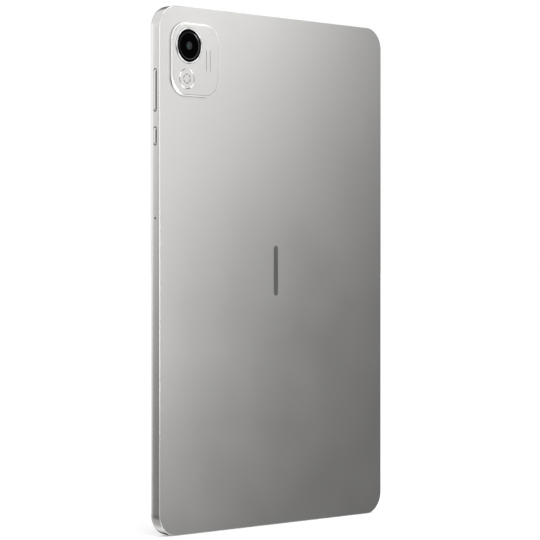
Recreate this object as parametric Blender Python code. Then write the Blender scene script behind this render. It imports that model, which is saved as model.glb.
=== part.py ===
"""Tablet computer: an aluminium rear shell, a bonded display, two side keys and the parts inside.

The tablet stands upright on its short edge. X runs across its width, Z up its height and Y
through its thickness: the display faces -Y, the back faces +Y. The origin is at the middle of
the bottom edge. Depths are counted from the outer face of the cover glass towards the back.
"""

import math

import bmesh
import bpy
from mathutils import Vector

MM = 0.001

# Body
BODY_WIDTH = 167.4 * MM
BODY_HEIGHT = 267.3 * MM
BODY_THICKNESS = 6.9 * MM
CORNER_RADIUS = 11.5 * MM
BACK_CHAMFER = 0.35 * MM
WALL_THICKNESS = 1.3 * MM
REAR_WALL = 0.8 * MM
FLAT_SIDE_DEPTH = 2.3 * MM
RIM_INSET = 0.76 * MM
RIM_DEPTH = 0.2 * MM

# Raised camera plate, seen from behind at the upper left
PLATE_WIDTH = 34.0 * MM
PLATE_HEIGHT = 37.6 * MM
PLATE_RADIUS = 10.0 * MM
PLATE_X = 59.4 * MM
PLATE_Z = 240.7 * MM
PLATE_RISE = 1.0 * MM
PLATE_SEAT = 0.4 * MM
PLATE_CHAMFER = 0.45 * MM

# Rear camera
LENS_X = 64.25 * MM
LENS_Z = 247.65 * MM
RING_RISE = 0.6 * MM
RING_RADIUS = 9.15 * MM
RING_BORE = 8.25 * MM
RING_SHELF = 7.4 * MM
WINDOW_THICKNESS = 0.5 * MM
WINDOW_DROP = 0.2 * MM
CAMERA_SIZE = 10.0 * MM
CAMERA_BARREL_RADIUS = 3.3 * MM
CAMERA_LENS_RADIUS = 1.6 * MM

# Display stack: each pair is the depth of the front and of the back of a layer
GLASS_LAYER = (0.0, 0.75 * MM)
ADHESIVE_LAYER = (0.8 * MM, 0.95 * MM)
PANEL_LAYER = (0.8 * MM, 1.3 * MM)
BACKLIGHT_LAYER = (1.38 * MM, 2.25 * MM)
LEDGE_LAYER = (1.0 * MM, 1.8 * MM)
FRAME_LAYER = (2.33 * MM, 2.75 * MM)
GLASS_INSET = 1.42 * MM
PANEL_INSET = 7.0 * MM
POCKET_INSET = 6.3 * MM
RISER_INSET = 5.9 * MM
LEDGE_INSET = 1.4 * MM
ADHESIVE_WIDTH = 4.1 * MM
DRIVER_EDGE = 3.5 * MM

# Side keys, on the +X side
KEY_DEPTH = 3.7 * MM
KEY_SLOT_WIDTH = 2.5 * MM
KEY_GAP = 0.12 * MM
KEY_END_GAP = 0.3 * MM
KEY_PROUD = 0.35 * MM
KEY_CROWN = 0.3 * MM
VOLUME_Z = 224.3 * MM
VOLUME_SLOT = 21.35 * MM
POWER_Z = 201.2 * MM
POWER_SLOT = 9.2 * MM
FLANGE_BORDER = 0.5 * MM
FLANGE_THICKNESS = 0.6 * MM
POWER_FLANGE_IN = 1.45 * MM
ROCKER_FLANGE_IN = 1.75 * MM
KEY_BACK = 2.6 * MM
ROCKER_PIVOT_IN = 2.0 * MM
ROCKER_NUB_OFFSET = 7.5 * MM
NUB_RADIUS = 0.7 * MM
DOME_TOP_IN = 2.96 * MM
DOME_HEIGHT = 0.22 * MM
DOME_RADIUS = 1.6 * MM
KEY_FLEX_WIDTH = 3.3 * MM
KEY_FLEX_THICKNESS = 0.12 * MM
KEY_BRACKET_THICKNESS = 0.35 * MM
KEY_BRACKET_ENDS = (193.0 * MM, 239.2 * MM)
KEY_BRACKET_FOOT = 1.2 * MM

# Ports and holes
PORT_DEPTH = 3.7 * MM
SIDE_MIC_Z = 160.0 * MM
BOTTOM_MIC_X = -12.0 * MM
MIC_HOLE_RADIUS = 0.5 * MM
USB_WIDTH = 8.94 * MM
USB_HEIGHT = 3.2 * MM
USB_WALL = 0.28 * MM
USB_MOUTH_Z = 0.4 * MM
USB_LENGTH = 7.4 * MM
USB_TONGUE = (6.65 * MM, 0.7 * MM, 4.45 * MM)
SPEAKER_X = 42.0 * MM
SPEAKER_SLOTS = 6
SPEAKER_PITCH = 4.4 * MM
SPEAKER_SLOT = (3.2 * MM, 1.3 * MM)

# Screws that hold the frame to the shell
SCREW_INSET = 4.2 * MM
SCREW_END_DISTANCE = 16.0 * MM
SCREW_MIDDLE_Z = 112.0 * MM
SCREW_HEAD_RADIUS = 1.2 * MM
SCREW_HEAD_DEPTH = 1.12 * MM
SCREW_HEAD_THICKNESS = 0.42 * MM
SCREW_SHANK_RADIUS = 0.6 * MM
SCREW_SHANK_LENGTH = 3.2 * MM
BOSS_RADIUS = 1.5 * MM

# Front camera and light sensor, in the border beside the display on the +X side
FRONT_CAMERA_INSET = 4.3 * MM
FRONT_CAMERA_SIZE = 5.0 * MM
FRONT_LENS_RADIUS = 1.5 * MM
SENSOR_OFFSET = 12.0 * MM
SENSOR_HOLE_RADIUS = 1.0 * MM

# Battery
CELL_SIZE = (70.0 * MM, 124.0 * MM)
CELL_LAYER = (2.95 * MM, 5.8 * MM)
CELL_X = 39.5 * MM
CELL_Z = 115.0 * MM

# Boards
BOARD_LAYER = (3.0 * MM, 3.7 * MM)
BOARD_X = (-66.0 * MM, 54.0 * MM)
BOARD_Z = (194.0 * MM, 250.0 * MM)
BOARD_STEP = (14.0 * MM, 30.0 * MM)
CAN_LAYER = (3.75 * MM, 5.3 * MM)
CAN_WALL = 0.2 * MM
CHIP_FRONT = 3.75 * MM

# Flexible circuits
FLEX_THICKNESS = 0.12 * MM
DISPLAY_FLEX_X = 16.0 * MM
DISPLAY_FLEX_WIDTH = 18.0 * MM
DISPLAY_FLEX_FRONT = 1.32 * MM
DISPLAY_FLEX_BACK = 2.98 * MM
DISPLAY_FLEX_LOW = 7.3 * MM
DISPLAY_FLEX_BOND = 10.2 * MM
DISPLAY_FLEX_END = 26.0 * MM
BOARD_FLEX_LAYER = (4.75 * MM, 4.9 * MM)
CAMERA_FLEX_LAYER = (5.0 * MM, 5.15 * MM)
CAMERA_FLEX_WIDTH = 2.6 * MM
CAMERA_FLEX_INSET = 6.2 * MM

# Fineness of the round shapes
CORNER_STEPS = 10
SMALL_CORNER_STEPS = 4
ROUND_STEPS = 48
SMALL_ROUND_STEPS = 20
CUT_MARGIN = 1.0 * MM
SAME_POINT = 0.0005 * MM

# Derived places
FRONT_Y = -(BODY_THICKNESS + PLATE_RISE + RING_RISE) / 2
BACK_Y = FRONT_Y + BODY_THICKNESS
MIDDLE_Z = BODY_HEIGHT / 2
SIDE_X = BODY_WIDTH / 2
BAY_BACK = BODY_THICKNESS - REAR_WALL

# Outline axes and the axis the outline is drawn along
PLANES = {
    "X": (Vector((0, 1, 0)), Vector((0, 0, 1)), Vector((1, 0, 0))),
    "Y": (Vector((1, 0, 0)), Vector((0, 0, 1)), Vector((0, 1, 0))),
    "Z": (Vector((1, 0, 0)), Vector((0, 1, 0)), Vector((0, 0, 1))),
}


# ---------------------------------------------------------------- shapes

def at_depth(depth):
    """Y of a plane this far behind the outer face of the glass."""
    return FRONT_Y + depth


def rounded_rectangle(width, height, radius, centre=(0.0, 0.0), steps=CORNER_STEPS):
    """Points of a rectangle with round corners, in order around it."""
    corners = ((1, 1), (-1, 1), (-1, -1), (1, -1))
    points = []
    for quarter, (side, end) in enumerate(corners):
        for step in range(steps + 1):
            angle = math.pi / 2 * (quarter + step / steps)
            across = centre[0] + side * (width / 2 - radius) + radius * math.cos(angle)
            along = centre[1] + end * (height / 2 - radius) + radius * math.sin(angle)
            if points and math.dist(points[-1], (across, along)) < SAME_POINT:
                continue
            points.append((across, along))
    if math.dist(points[0], points[-1]) < SAME_POINT:
        points.pop()
    return points


def rectangle(width, height, centre=(0.0, 0.0)):
    """Four corners of a plain rectangle."""
    left, right = centre[0] - width / 2, centre[0] + width / 2
    low, high = centre[1] - height / 2, centre[1] + height / 2
    return [(left, low), (right, low), (right, high), (left, high)]


def stadium(width, height, centre=(0.0, 0.0), steps=SMALL_CORNER_STEPS):
    """A slot outline: a rectangle whose shorter ends are half circles."""
    return rounded_rectangle(width, height, min(width, height) / 2, centre, steps)


def body_outline(inset):
    """The tablet's outline about its middle, this far in from its side."""
    return rounded_rectangle(
        BODY_WIDTH - 2 * inset, BODY_HEIGHT - 2 * inset, CORNER_RADIUS - min(inset, CORNER_RADIUS * 0.8)
    )


def add_prism(bm, outline, axis, low, high):
    """Add a straight solid with this outline between two places on an axis."""
    first, second, along = PLANES[axis]
    corners = [bm.verts.new(first * a + second * b + along * low) for a, b in outline]
    face = bm.faces.new(corners)
    extruded = bmesh.ops.extrude_face_region(bm, geom=[face])
    moved = [item for item in extruded["geom"] if isinstance(item, bmesh.types.BMVert)]
    bmesh.ops.translate(bm, vec=along * (high - low), verts=moved)


def add_loft(bm, rings, axis="Y"):
    """Add a closed solid through rings of equal point counts, capped at both ends."""
    first, second, along = PLANES[axis]
    loops = []
    for outline, place in rings:
        loops.append([bm.verts.new(first * a + second * b + along * place) for a, b in outline])
    for near, far in zip(loops, loops[1:]):
        for index in range(len(near)):
            after = (index + 1) % len(near)
            bm.faces.new((near[index], near[after], far[after], far[index]))
    bm.faces.new(loops[0])
    bm.faces.new(loops[-1])


def add_turned(bm, profile, axis="Y", steps=ROUND_STEPS):
    """Turn a profile of (radius, place) points about an axis through the local origin."""
    first, _, along = PLANES[axis]
    verts = [bm.verts.new(first * radius + along * place) for radius, place in profile]
    on_axis = profile[0][0] == 0 and profile[-1][0] == 0
    pairs = list(zip(verts, verts[1:] if on_axis else verts[1:] + verts[:1]))
    edges = [bm.edges.new(pair) for pair in pairs]
    bmesh.ops.spin(
        bm, geom=verts + edges, cent=(0, 0, 0), axis=along, dvec=(0, 0, 0),
        angle=2 * math.pi, steps=steps, use_merge=True,
    )
    bmesh.ops.remove_doubles(bm, verts=bm.verts[:], dist=SAME_POINT)


def add_cylinder(bm, radius, axis, low, high, centre=(0.0, 0.0), steps=SMALL_ROUND_STEPS):
    """Add a round bar along an axis; centre holds the other two coordinates."""
    turns = [2 * math.pi * step / steps for step in range(steps)]
    outline = [(centre[0] + radius * math.cos(a), centre[1] + radius * math.sin(a)) for a in turns]
    add_prism(bm, outline, axis, low, high)


# ---------------------------------------------------------------- objects

def make_material(name, colour, roughness, metallic=0.0):
    """One plain Principled finish."""
    material = bpy.data.materials.new(name)
    material.use_nodes = True
    shader = material.node_tree.nodes["Principled BSDF"]
    shader.inputs["Base Color"].default_value = (*colour, 1.0)
    shader.inputs["Roughness"].default_value = roughness
    shader.inputs["Metallic"].default_value = metallic
    return material


def make_object(name, mesh, location=(0, 0, 0)):
    """Place a mesh in the scene under the tablet's empty."""
    placed = bpy.data.objects.new(name, mesh)
    placed.location = location
    placed.parent = bpy.data.objects.get("tablet_origin")
    bpy.context.scene.collection.objects.link(placed)
    return placed


def finish_mesh(name, bm, material=None, is_round=False):
    """Close a bmesh into a mesh with outward faces."""
    bmesh.ops.recalc_face_normals(bm, faces=bm.faces[:])
    mesh = bpy.data.meshes.new(name)
    bm.to_mesh(mesh)
    bm.free()
    if material:
        mesh.materials.append(material)
    if is_round:
        mesh.shade_smooth()
        mesh.set_sharp_from_angle(angle=math.radians(35))
    return mesh


def make_slab(name, outline, layer, place, material):
    """A flat piece parallel to the display, between two depths, centred on (x, z)."""
    half = (layer[1] - layer[0]) / 2
    bm = bmesh.new()
    add_prism(bm, outline, "Y", -half, half)
    mesh = finish_mesh(name, bm, material)
    return make_object(name, mesh, (place[0], at_depth(layer[0]) + half, place[1]))


def make_box(name, size, centre, material, bevel=0.0):
    """A block, with its edges rounded off by a Bevel modifier where bevel isn't 0."""
    bm = bmesh.new()
    bmesh.ops.create_cube(bm, size=1.0)
    bmesh.ops.scale(bm, vec=size, verts=bm.verts[:])
    block = make_object(name, finish_mesh(name, bm, material), centre)
    if bevel:
        rounding = block.modifiers.new("edges", "BEVEL")
        rounding.width = bevel
        rounding.segments = 2
    return block


def make_tool(name, bm):
    """A hidden cutter or filler for a Boolean."""
    tool = make_object(name, finish_mesh(name, bm))
    tool.hide_render = True
    tool.display_type = "WIRE"
    return tool


def combine(target, tool, operation="DIFFERENCE"):
    """Cut the tool out of the target, or join it on."""
    boolean = target.modifiers.new(tool.name, "BOOLEAN")
    boolean.operation = operation
    boolean.solver = "EXACT"
    boolean.object = tool


# ---------------------------------------------------------------- rear shell

def screw_places():
    """(x, z) of the six frame screws."""
    heights = (SCREW_END_DISTANCE, SCREW_MIDDLE_Z, BODY_HEIGHT - SCREW_END_DISTANCE)
    across = SIDE_X - SCREW_INSET
    return [(side * across, height) for height in heights for side in (-1, 1)]


def speaker_places():
    """Name, x and the end of the tablet, -1 bottom and 1 top, of each speaker."""
    return [
        ("top_left", -SPEAKER_X, 1),
        ("top_right", SPEAKER_X, 1),
        ("bottom_left", -SPEAKER_X, -1),
        ("bottom_right", SPEAKER_X, -1),
    ]


def make_rear_cover(material):
    """One-piece aluminium tray: rear wall and side walls, with every opening in them."""
    profile = [
        (BACK_CHAMFER, BODY_THICKNESS),
        (0.0, BODY_THICKNESS - BACK_CHAMFER),
        (0.0, FLAT_SIDE_DEPTH),
        (RIM_INSET * 0.2, FLAT_SIDE_DEPTH * 0.62),
        (RIM_INSET * 0.55, FLAT_SIDE_DEPTH * 0.29),
        (RIM_INSET, RIM_DEPTH),
        (WALL_THICKNESS, RIM_DEPTH),
        (WALL_THICKNESS, BAY_BACK),
    ]
    bm = bmesh.new()
    add_loft(bm, [(body_outline(inset), at_depth(depth)) for inset, depth in profile])
    cover = make_object("rear_cover", finish_mesh("rear_cover", bm, material), (0, 0, MIDDLE_Z))

    bosses = bmesh.new()
    for place in screw_places():
        add_cylinder(bosses, BOSS_RADIUS, "Y", at_depth(1.95 * MM), at_depth(BAY_BACK + 0.3 * MM), place)
    combine(cover, make_tool("screw_bosses", bosses), "UNION")

    cuts = bmesh.new()
    for place in screw_places():
        add_cylinder(cuts, SCREW_SHANK_RADIUS + 0.15 * MM, "Y", at_depth(1.0 * MM), at_depth(5.2 * MM), place)
    seat = rounded_rectangle(
        PLATE_WIDTH + 0.24 * MM, PLATE_HEIGHT + 0.24 * MM, PLATE_RADIUS + 0.12 * MM, (PLATE_X, PLATE_Z)
    )
    add_prism(cuts, seat, "Y", BACK_Y - PLATE_SEAT, BACK_Y + CUT_MARGIN)
    combine(cover, make_tool("shell_cuts", cuts))

    openings = bmesh.new()
    add_cylinder(
        openings, RING_SHELF, "Y", BACK_Y - 2 * MM, BACK_Y + CUT_MARGIN, (LENS_X, LENS_Z), ROUND_STEPS
    )
    through_side = (SIDE_X - WALL_THICKNESS - CUT_MARGIN, SIDE_X + CUT_MARGIN)
    for slot, height in ((VOLUME_SLOT, VOLUME_Z), (POWER_SLOT, POWER_Z)):
        hole = stadium(KEY_SLOT_WIDTH, slot, (at_depth(KEY_DEPTH), height), SMALL_CORNER_STEPS + 2)
        add_prism(openings, hole, "X", *through_side)
    add_cylinder(openings, MIC_HOLE_RADIUS, "X", *through_side, (at_depth(PORT_DEPTH), SIDE_MIC_Z), 12)
    through_bottom = (-CUT_MARGIN, WALL_THICKNESS + CUT_MARGIN)
    through_top = (BODY_HEIGHT - WALL_THICKNESS - CUT_MARGIN, BODY_HEIGHT + CUT_MARGIN)
    port = stadium(USB_WIDTH + 0.3 * MM, USB_HEIGHT + 0.3 * MM, (0.0, at_depth(PORT_DEPTH)), 6)
    add_prism(openings, port, "Z", *through_bottom)
    microphone = (BOTTOM_MIC_X, at_depth(PORT_DEPTH))
    add_cylinder(openings, MIC_HOLE_RADIUS, "Z", *through_bottom, microphone, 12)
    first_slot = -(SPEAKER_SLOTS - 1) / 2 * SPEAKER_PITCH
    for _, across, end in speaker_places():
        for index in range(SPEAKER_SLOTS):
            slot = stadium(*SPEAKER_SLOT, (across + first_slot + index * SPEAKER_PITCH, at_depth(PORT_DEPTH)))
            add_prism(openings, slot, "Z", *(through_top if end > 0 else through_bottom))
    combine(cover, make_tool("shell_openings", openings))


def make_camera_plate(material):
    """Raised plate around the rear camera, seated in a shallow recess, with a bright chamfer."""
    def ring(inset):
        return rounded_rectangle(PLATE_WIDTH - 2 * inset, PLATE_HEIGHT - 2 * inset, PLATE_RADIUS - inset)

    top = BACK_Y + PLATE_RISE
    rings = [
        (ring(0.0), BACK_Y - PLATE_SEAT + 0.05 * MM),
        (ring(0.0), top - PLATE_CHAMFER),
        (ring(PLATE_CHAMFER * 0.3), top - PLATE_CHAMFER * 0.3),
        (ring(PLATE_CHAMFER), top),
    ]
    bm = bmesh.new()
    add_loft(bm, rings)
    plate = make_object("camera_plate", finish_mesh("camera_plate", bm, material), (PLATE_X, 0, PLATE_Z))
    hole = bmesh.new()
    low, high = BACK_Y - CUT_MARGIN, top + CUT_MARGIN
    add_cylinder(hole, RING_RADIUS + 0.08 * MM, "Y", low, high, (LENS_X, LENS_Z), ROUND_STEPS)
    combine(plate, make_tool("plate_hole", hole))


def make_rear_camera(metal, black, glass):
    """Lens ring, window, baffle and the camera module under them."""
    top = PLATE_RISE + RING_RISE
    window_back = top - WINDOW_DROP - WINDOW_THICKNESS
    ring_profile = [
        (RING_RADIUS, -PLATE_SEAT + 0.05 * MM),
        (RING_RADIUS, top - 0.25 * MM),
        (RING_RADIUS - 0.25 * MM, top),
        (RING_BORE + 0.15 * MM, top),
        (RING_BORE, top - 0.15 * MM),
        (RING_BORE, window_back - 0.04 * MM),
        (RING_SHELF, window_back - 0.04 * MM),
        (RING_SHELF, -PLATE_SEAT + 0.05 * MM),
    ]
    place = (LENS_X, BACK_Y, LENS_Z)
    bm = bmesh.new()
    add_turned(bm, ring_profile)
    make_object("camera_lens_ring", finish_mesh("camera_lens_ring", bm, metal, True), place)

    edge = RING_BORE - 0.08 * MM
    window = [
        (0, window_back),
        (edge, window_back),
        (edge, window_back + WINDOW_THICKNESS - 0.1 * MM),
        (edge - 0.1 * MM, window_back + WINDOW_THICKNESS),
        (0, window_back + WINDOW_THICKNESS),
    ]
    bm = bmesh.new()
    add_turned(bm, window)
    make_object("camera_window", finish_mesh("camera_window", bm, glass, True), place)

    bm = bmesh.new()
    outer = RING_SHELF - 0.1 * MM
    inner = CAMERA_BARREL_RADIUS + 0.25 * MM
    low, step, high = 0.2 * MM, 0.35 * MM, 0.7 * MM
    baffle = [(inner, low), (outer, low), (outer, high), (outer - 0.6 * MM, high), (inner, step)]
    add_turned(bm, baffle)
    make_object("camera_baffle", finish_mesh("camera_baffle", bm, black, True), place)

    housing_back = 5.7 * MM
    housing = rounded_rectangle(CAMERA_SIZE, CAMERA_SIZE, 0.8 * MM, steps=SMALL_CORNER_STEPS)
    make_slab("rear_camera_housing", housing, (2.95 * MM, housing_back), (LENS_X, LENS_Z), metal)
    start = housing_back + 0.05 * MM - BODY_THICKNESS
    lens_seat = 0.3 * MM
    barrel = [
        (0, start),
        (CAMERA_BARREL_RADIUS, start),
        (CAMERA_BARREL_RADIUS, lens_seat + 0.3 * MM),
        (CAMERA_LENS_RADIUS + 0.9 * MM, lens_seat + 0.3 * MM),
        (CAMERA_LENS_RADIUS + 0.1 * MM, lens_seat),
        (CAMERA_LENS_RADIUS + 0.1 * MM, lens_seat - 0.5 * MM),
        (0, lens_seat - 0.5 * MM),
    ]
    bm = bmesh.new()
    add_turned(bm, barrel, steps=32)
    make_object("rear_camera_barrel", finish_mesh("rear_camera_barrel", bm, black, True), place)
    dome = [(0, lens_seat - 0.45 * MM), (CAMERA_LENS_RADIUS, lens_seat - 0.45 * MM)]
    crown = 0.35 * MM
    for step in range(6):
        angle = math.pi / 2 * step / 5
        radius = CAMERA_LENS_RADIUS * math.cos(angle) if step < 5 else 0
        dome.append((radius, lens_seat - 0.25 * MM + crown * math.sin(angle)))
    bm = bmesh.new()
    add_turned(bm, dome, steps=24)
    make_object("rear_camera_lens", finish_mesh("rear_camera_lens", bm, glass, True), place)


# ---------------------------------------------------------------- display and frame

def make_display(glass, panel, film, adhesive):
    """Cover glass, liquid-crystal panel, backlight and the adhesive frame."""
    front, back = (at_depth(depth) for depth in GLASS_LAYER)
    edge = 0.25 * MM
    rings = [
        (body_outline(GLASS_INSET + edge), front),
        (body_outline(GLASS_INSET + edge * 0.25), front + edge * 0.4),
        (body_outline(GLASS_INSET), front + edge),
        (body_outline(GLASS_INSET), back),
    ]
    bm = bmesh.new()
    add_loft(bm, rings)
    make_object("display_cover_glass", finish_mesh("display_cover_glass", bm, glass), (0, 0, MIDDLE_Z))

    width, height = BODY_WIDTH - 2 * PANEL_INSET, BODY_HEIGHT - 2 * PANEL_INSET
    middle = (0.0, MIDDLE_Z)
    corner = CORNER_RADIUS - PANEL_INSET
    panel_outline = rounded_rectangle(width, height, corner, steps=SMALL_CORNER_STEPS)
    make_slab("display_panel", panel_outline, PANEL_LAYER, middle, panel)
    lit = rounded_rectangle(width, height - DRIVER_EDGE, corner, steps=SMALL_CORNER_STEPS)
    make_slab("display_backlight", lit, BACKLIGHT_LAYER, (0.0, MIDDLE_Z + DRIVER_EDGE / 2), film)

    outer = body_outline(LEDGE_INSET + 0.25 * MM)
    ring = make_slab("display_adhesive", outer, ADHESIVE_LAYER, middle, adhesive)
    window = bmesh.new()
    inside = body_outline(LEDGE_INSET + 0.25 * MM + ADHESIVE_WIDTH)
    inside = [(across, along + MIDDLE_Z) for across, along in inside]
    add_prism(window, inside, "Y", at_depth(0), at_depth(2 * MM))
    combine(ring, make_tool("adhesive_window", window))
    combine(ring, make_sight_holes("adhesive_sight_holes", 0.0, 2 * MM, 0.6 * MM))


def make_sight_holes(name, near, far, clearance):
    """Cutter for the holes in front of the front camera and the light sensor."""
    across = SIDE_X - FRONT_CAMERA_INSET
    holes = bmesh.new()
    for radius, height in ((FRONT_LENS_RADIUS, MIDDLE_Z), (SENSOR_HOLE_RADIUS, MIDDLE_Z - SENSOR_OFFSET)):
        add_cylinder(holes, radius + clearance, "Y", at_depth(near), at_depth(far), (across, height))
    return make_tool(name, holes)


def make_mid_frame(material):
    """Stepped frame: a ledge for the glass, a tray for the display and bores for the screws."""
    profile = [
        (POCKET_INSET, FRAME_LAYER[0]),
        (POCKET_INSET, LEDGE_LAYER[0]),
        (LEDGE_INSET, LEDGE_LAYER[0]),
        (LEDGE_INSET, LEDGE_LAYER[1]),
        (RISER_INSET, LEDGE_LAYER[1]),
        (RISER_INSET, FRAME_LAYER[1]),
    ]
    bm = bmesh.new()
    add_loft(bm, [(body_outline(inset), at_depth(depth)) for inset, depth in profile])
    frame = make_object("mid_frame", finish_mesh("mid_frame", bm, material), (0, 0, MIDDLE_Z))
    cuts = bmesh.new()
    for place in screw_places():
        add_cylinder(cuts, SCREW_SHANK_RADIUS + 0.2 * MM, "Y", at_depth(0.5 * MM), at_depth(3 * MM), place)
    camera = rectangle(7.2 * MM, FRONT_CAMERA_SIZE + 0.6 * MM, (SIDE_X - FRONT_CAMERA_INSET, MIDDLE_Z))
    add_prism(cuts, camera, "Y", at_depth(LEDGE_LAYER[1] + 0.1 * MM), at_depth(3.2 * MM))
    port = rectangle(USB_WIDTH + 0.8 * MM, 6 * MM, (0.0, 5.6 * MM))
    add_prism(cuts, port, "Y", at_depth(LEDGE_LAYER[1] + 0.1 * MM), at_depth(3.2 * MM))
    slot = rectangle(DISPLAY_FLEX_WIDTH + 1 * MM, 3.0 * MM, (DISPLAY_FLEX_X, DISPLAY_FLEX_LOW + 1 * MM))
    add_prism(cuts, slot, "Y", at_depth(2.0 * MM), at_depth(3.2 * MM))
    combine(frame, make_tool("frame_cuts", cuts))
    seats = bmesh.new()
    for place in screw_places():
        head = SCREW_HEAD_RADIUS + 0.15 * MM
        add_cylinder(seats, head, "Y", at_depth(0.4 * MM), at_depth(SCREW_HEAD_DEPTH + 0.45 * MM), place)
    combine(frame, make_tool("frame_screw_seats", seats))
    combine(frame, make_sight_holes("frame_sight_holes", 0.5 * MM, 2.1 * MM, 0.25 * MM))


def make_front_camera(black, glass, chip):
    """Front camera and light sensor under the border of the glass."""
    place = (SIDE_X - FRONT_CAMERA_INSET, MIDDLE_Z)
    size = FRONT_CAMERA_SIZE
    housing = rounded_rectangle(size, size, 0.5 * MM, steps=SMALL_CORNER_STEPS)
    make_slab("front_camera_housing", housing, (1.95 * MM, 4.8 * MM), place, black)
    shoulder, crown = 0.65 * MM, 0.9 * MM
    lens = [(0, 0), (FRONT_LENS_RADIUS, 0), (FRONT_LENS_RADIUS, -shoulder), (0.9 * MM, -crown), (0, -crown)]
    bm = bmesh.new()
    add_turned(bm, lens, steps=24)
    mesh = finish_mesh("front_camera_lens", bm, glass, True)
    make_object("front_camera_lens", mesh, (place[0], at_depth(1.9 * MM), place[1]))
    sensor = (place[0], at_depth(2.2 * MM), MIDDLE_Z - SENSOR_OFFSET)
    make_box("light_sensor", (2.2 * MM, 0.6 * MM, 2.6 * MM), sensor, chip)


def make_screws(material):
    """Six equal countersunk-seat screws sharing one mesh."""
    head, shank, length = SCREW_HEAD_RADIUS, SCREW_SHANK_RADIUS, SCREW_SHANK_LENGTH
    profile = [
        (0, 0.18 * MM),
        (head * 0.45, 0.18 * MM),
        (head * 0.45, 0),
        (head * 0.85, 0),
        (head, 0.1 * MM),
        (head, SCREW_HEAD_THICKNESS),
        (shank, SCREW_HEAD_THICKNESS),
        (shank, length),
        (0, length + 0.3 * MM),
    ]
    bm = bmesh.new()
    add_turned(bm, profile, steps=12)
    mesh = finish_mesh("frame_screw", bm, material, True)
    for number, (across, height) in enumerate(screw_places(), start=1):
        make_object(f"frame_screw_{number}", mesh, (across, at_depth(SCREW_HEAD_DEPTH), height))


# ---------------------------------------------------------------- side keys

def make_key(name, slot_length, height, origin_in, flange_in, nubs, material):
    """A pill-shaped key through the side wall, with a flange inside and nubs for its domes.

    The object's origin lies origin_in inside the side wall's outer face, on the key's centre.
    A key with no nub offsets has one long nub in its middle.
    """
    width = KEY_SLOT_WIDTH - 2 * KEY_GAP
    length = slot_length - 2 * KEY_END_GAP

    def ring(border):
        return stadium(width + 2 * border, length + 2 * border, steps=8)

    rings = [
        (ring(-KEY_CROWN), origin_in + KEY_PROUD),
        (ring(-KEY_CROWN * 0.3), origin_in + KEY_PROUD - KEY_CROWN * 0.3),
        (ring(0.0), origin_in + KEY_PROUD - KEY_CROWN),
        (ring(0.0), origin_in - flange_in),
        (ring(FLANGE_BORDER), origin_in - flange_in),
        (ring(FLANGE_BORDER), origin_in - flange_in - FLANGE_THICKNESS),
    ]
    if not nubs:
        nub = stadium(2 * NUB_RADIUS, 4 * NUB_RADIUS, steps=8)
        rings.append((nub, origin_in - flange_in - FLANGE_THICKNESS))
        rings.append((nub, origin_in - KEY_BACK))
    bm = bmesh.new()
    add_loft(bm, rings, "X")
    mesh = finish_mesh(name, bm, material, True)
    place = (SIDE_X - origin_in, at_depth(KEY_DEPTH), height)
    key = make_object(name, mesh, place)
    if not nubs:
        return
    pushers = bmesh.new()
    for offset in nubs:
        centre = (at_depth(KEY_DEPTH), height + offset)
        low, high = SIDE_X - KEY_BACK, SIDE_X - flange_in - FLANGE_THICKNESS / 2
        add_cylinder(pushers, NUB_RADIUS, "X", low, high, centre, 12)
    combine(key, make_tool(f"{name}_nubs", pushers), "UNION")


def make_side_keys(key_metal, steel, film):
    """Power button, volume rocker, their metal domes, the key flex and its bracket."""
    make_key("power_button", POWER_SLOT, POWER_Z, 0.0, POWER_FLANGE_IN, (), key_metal)
    offsets = (-ROCKER_NUB_OFFSET, ROCKER_NUB_OFFSET)
    make_key("volume_rocker", VOLUME_SLOT, VOLUME_Z, ROCKER_PIVOT_IN, ROCKER_FLANGE_IN, offsets, key_metal)

    base = 0.06 * MM
    dome = [(0, 0), (DOME_RADIUS, 0), (DOME_RADIUS, base)]
    for step in range(1, 5):
        share = step / 4
        rise = (DOME_HEIGHT - base) * math.sin(share * math.pi / 2)
        dome.append((DOME_RADIUS * (1 - share) * 0.92, base + rise))
    bm = bmesh.new()
    add_turned(bm, dome, "X", 14)
    mesh = finish_mesh("key_dome", bm, steel, True)
    dome_x = SIDE_X - DOME_TOP_IN - DOME_HEIGHT
    heights = (
        ("power", POWER_Z),
        ("volume_down", VOLUME_Z - ROCKER_NUB_OFFSET),
        ("volume_up", VOLUME_Z + ROCKER_NUB_OFFSET),
    )
    for key, height in heights:
        make_object(f"key_dome_{key}", mesh, (dome_x, at_depth(KEY_DEPTH), height))

    low, high = KEY_BRACKET_ENDS
    middle = (low + high) / 2
    flex_x = dome_x - 0.02 * MM - KEY_FLEX_THICKNESS / 2
    flex_size = (KEY_FLEX_THICKNESS, KEY_FLEX_WIDTH, high - low - 2 * KEY_BRACKET_FOOT - 0.8 * MM)
    make_box("side_key_flex", flex_size, (flex_x, at_depth(KEY_DEPTH), middle), film)

    back = SIDE_X - DOME_TOP_IN - DOME_HEIGHT - KEY_FLEX_THICKNESS - 0.05 * MM
    wall = SIDE_X - WALL_THICKNESS - 0.1 * MM
    staple = [
        (wall, low), (wall, low + KEY_BRACKET_FOOT), (back, low + KEY_BRACKET_FOOT),
        (back, high - KEY_BRACKET_FOOT), (wall, high - KEY_BRACKET_FOOT), (wall, high),
        (back - KEY_BRACKET_THICKNESS, high), (back - KEY_BRACKET_THICKNESS, low),
    ]
    bm = bmesh.new()
    half = KEY_FLEX_WIDTH / 2
    add_prism(bm, staple, "Y", at_depth(KEY_DEPTH) - half, at_depth(KEY_DEPTH) + half)
    make_object("side_key_bracket", finish_mesh("side_key_bracket", bm, steel))


# ---------------------------------------------------------------- parts in the bay

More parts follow.
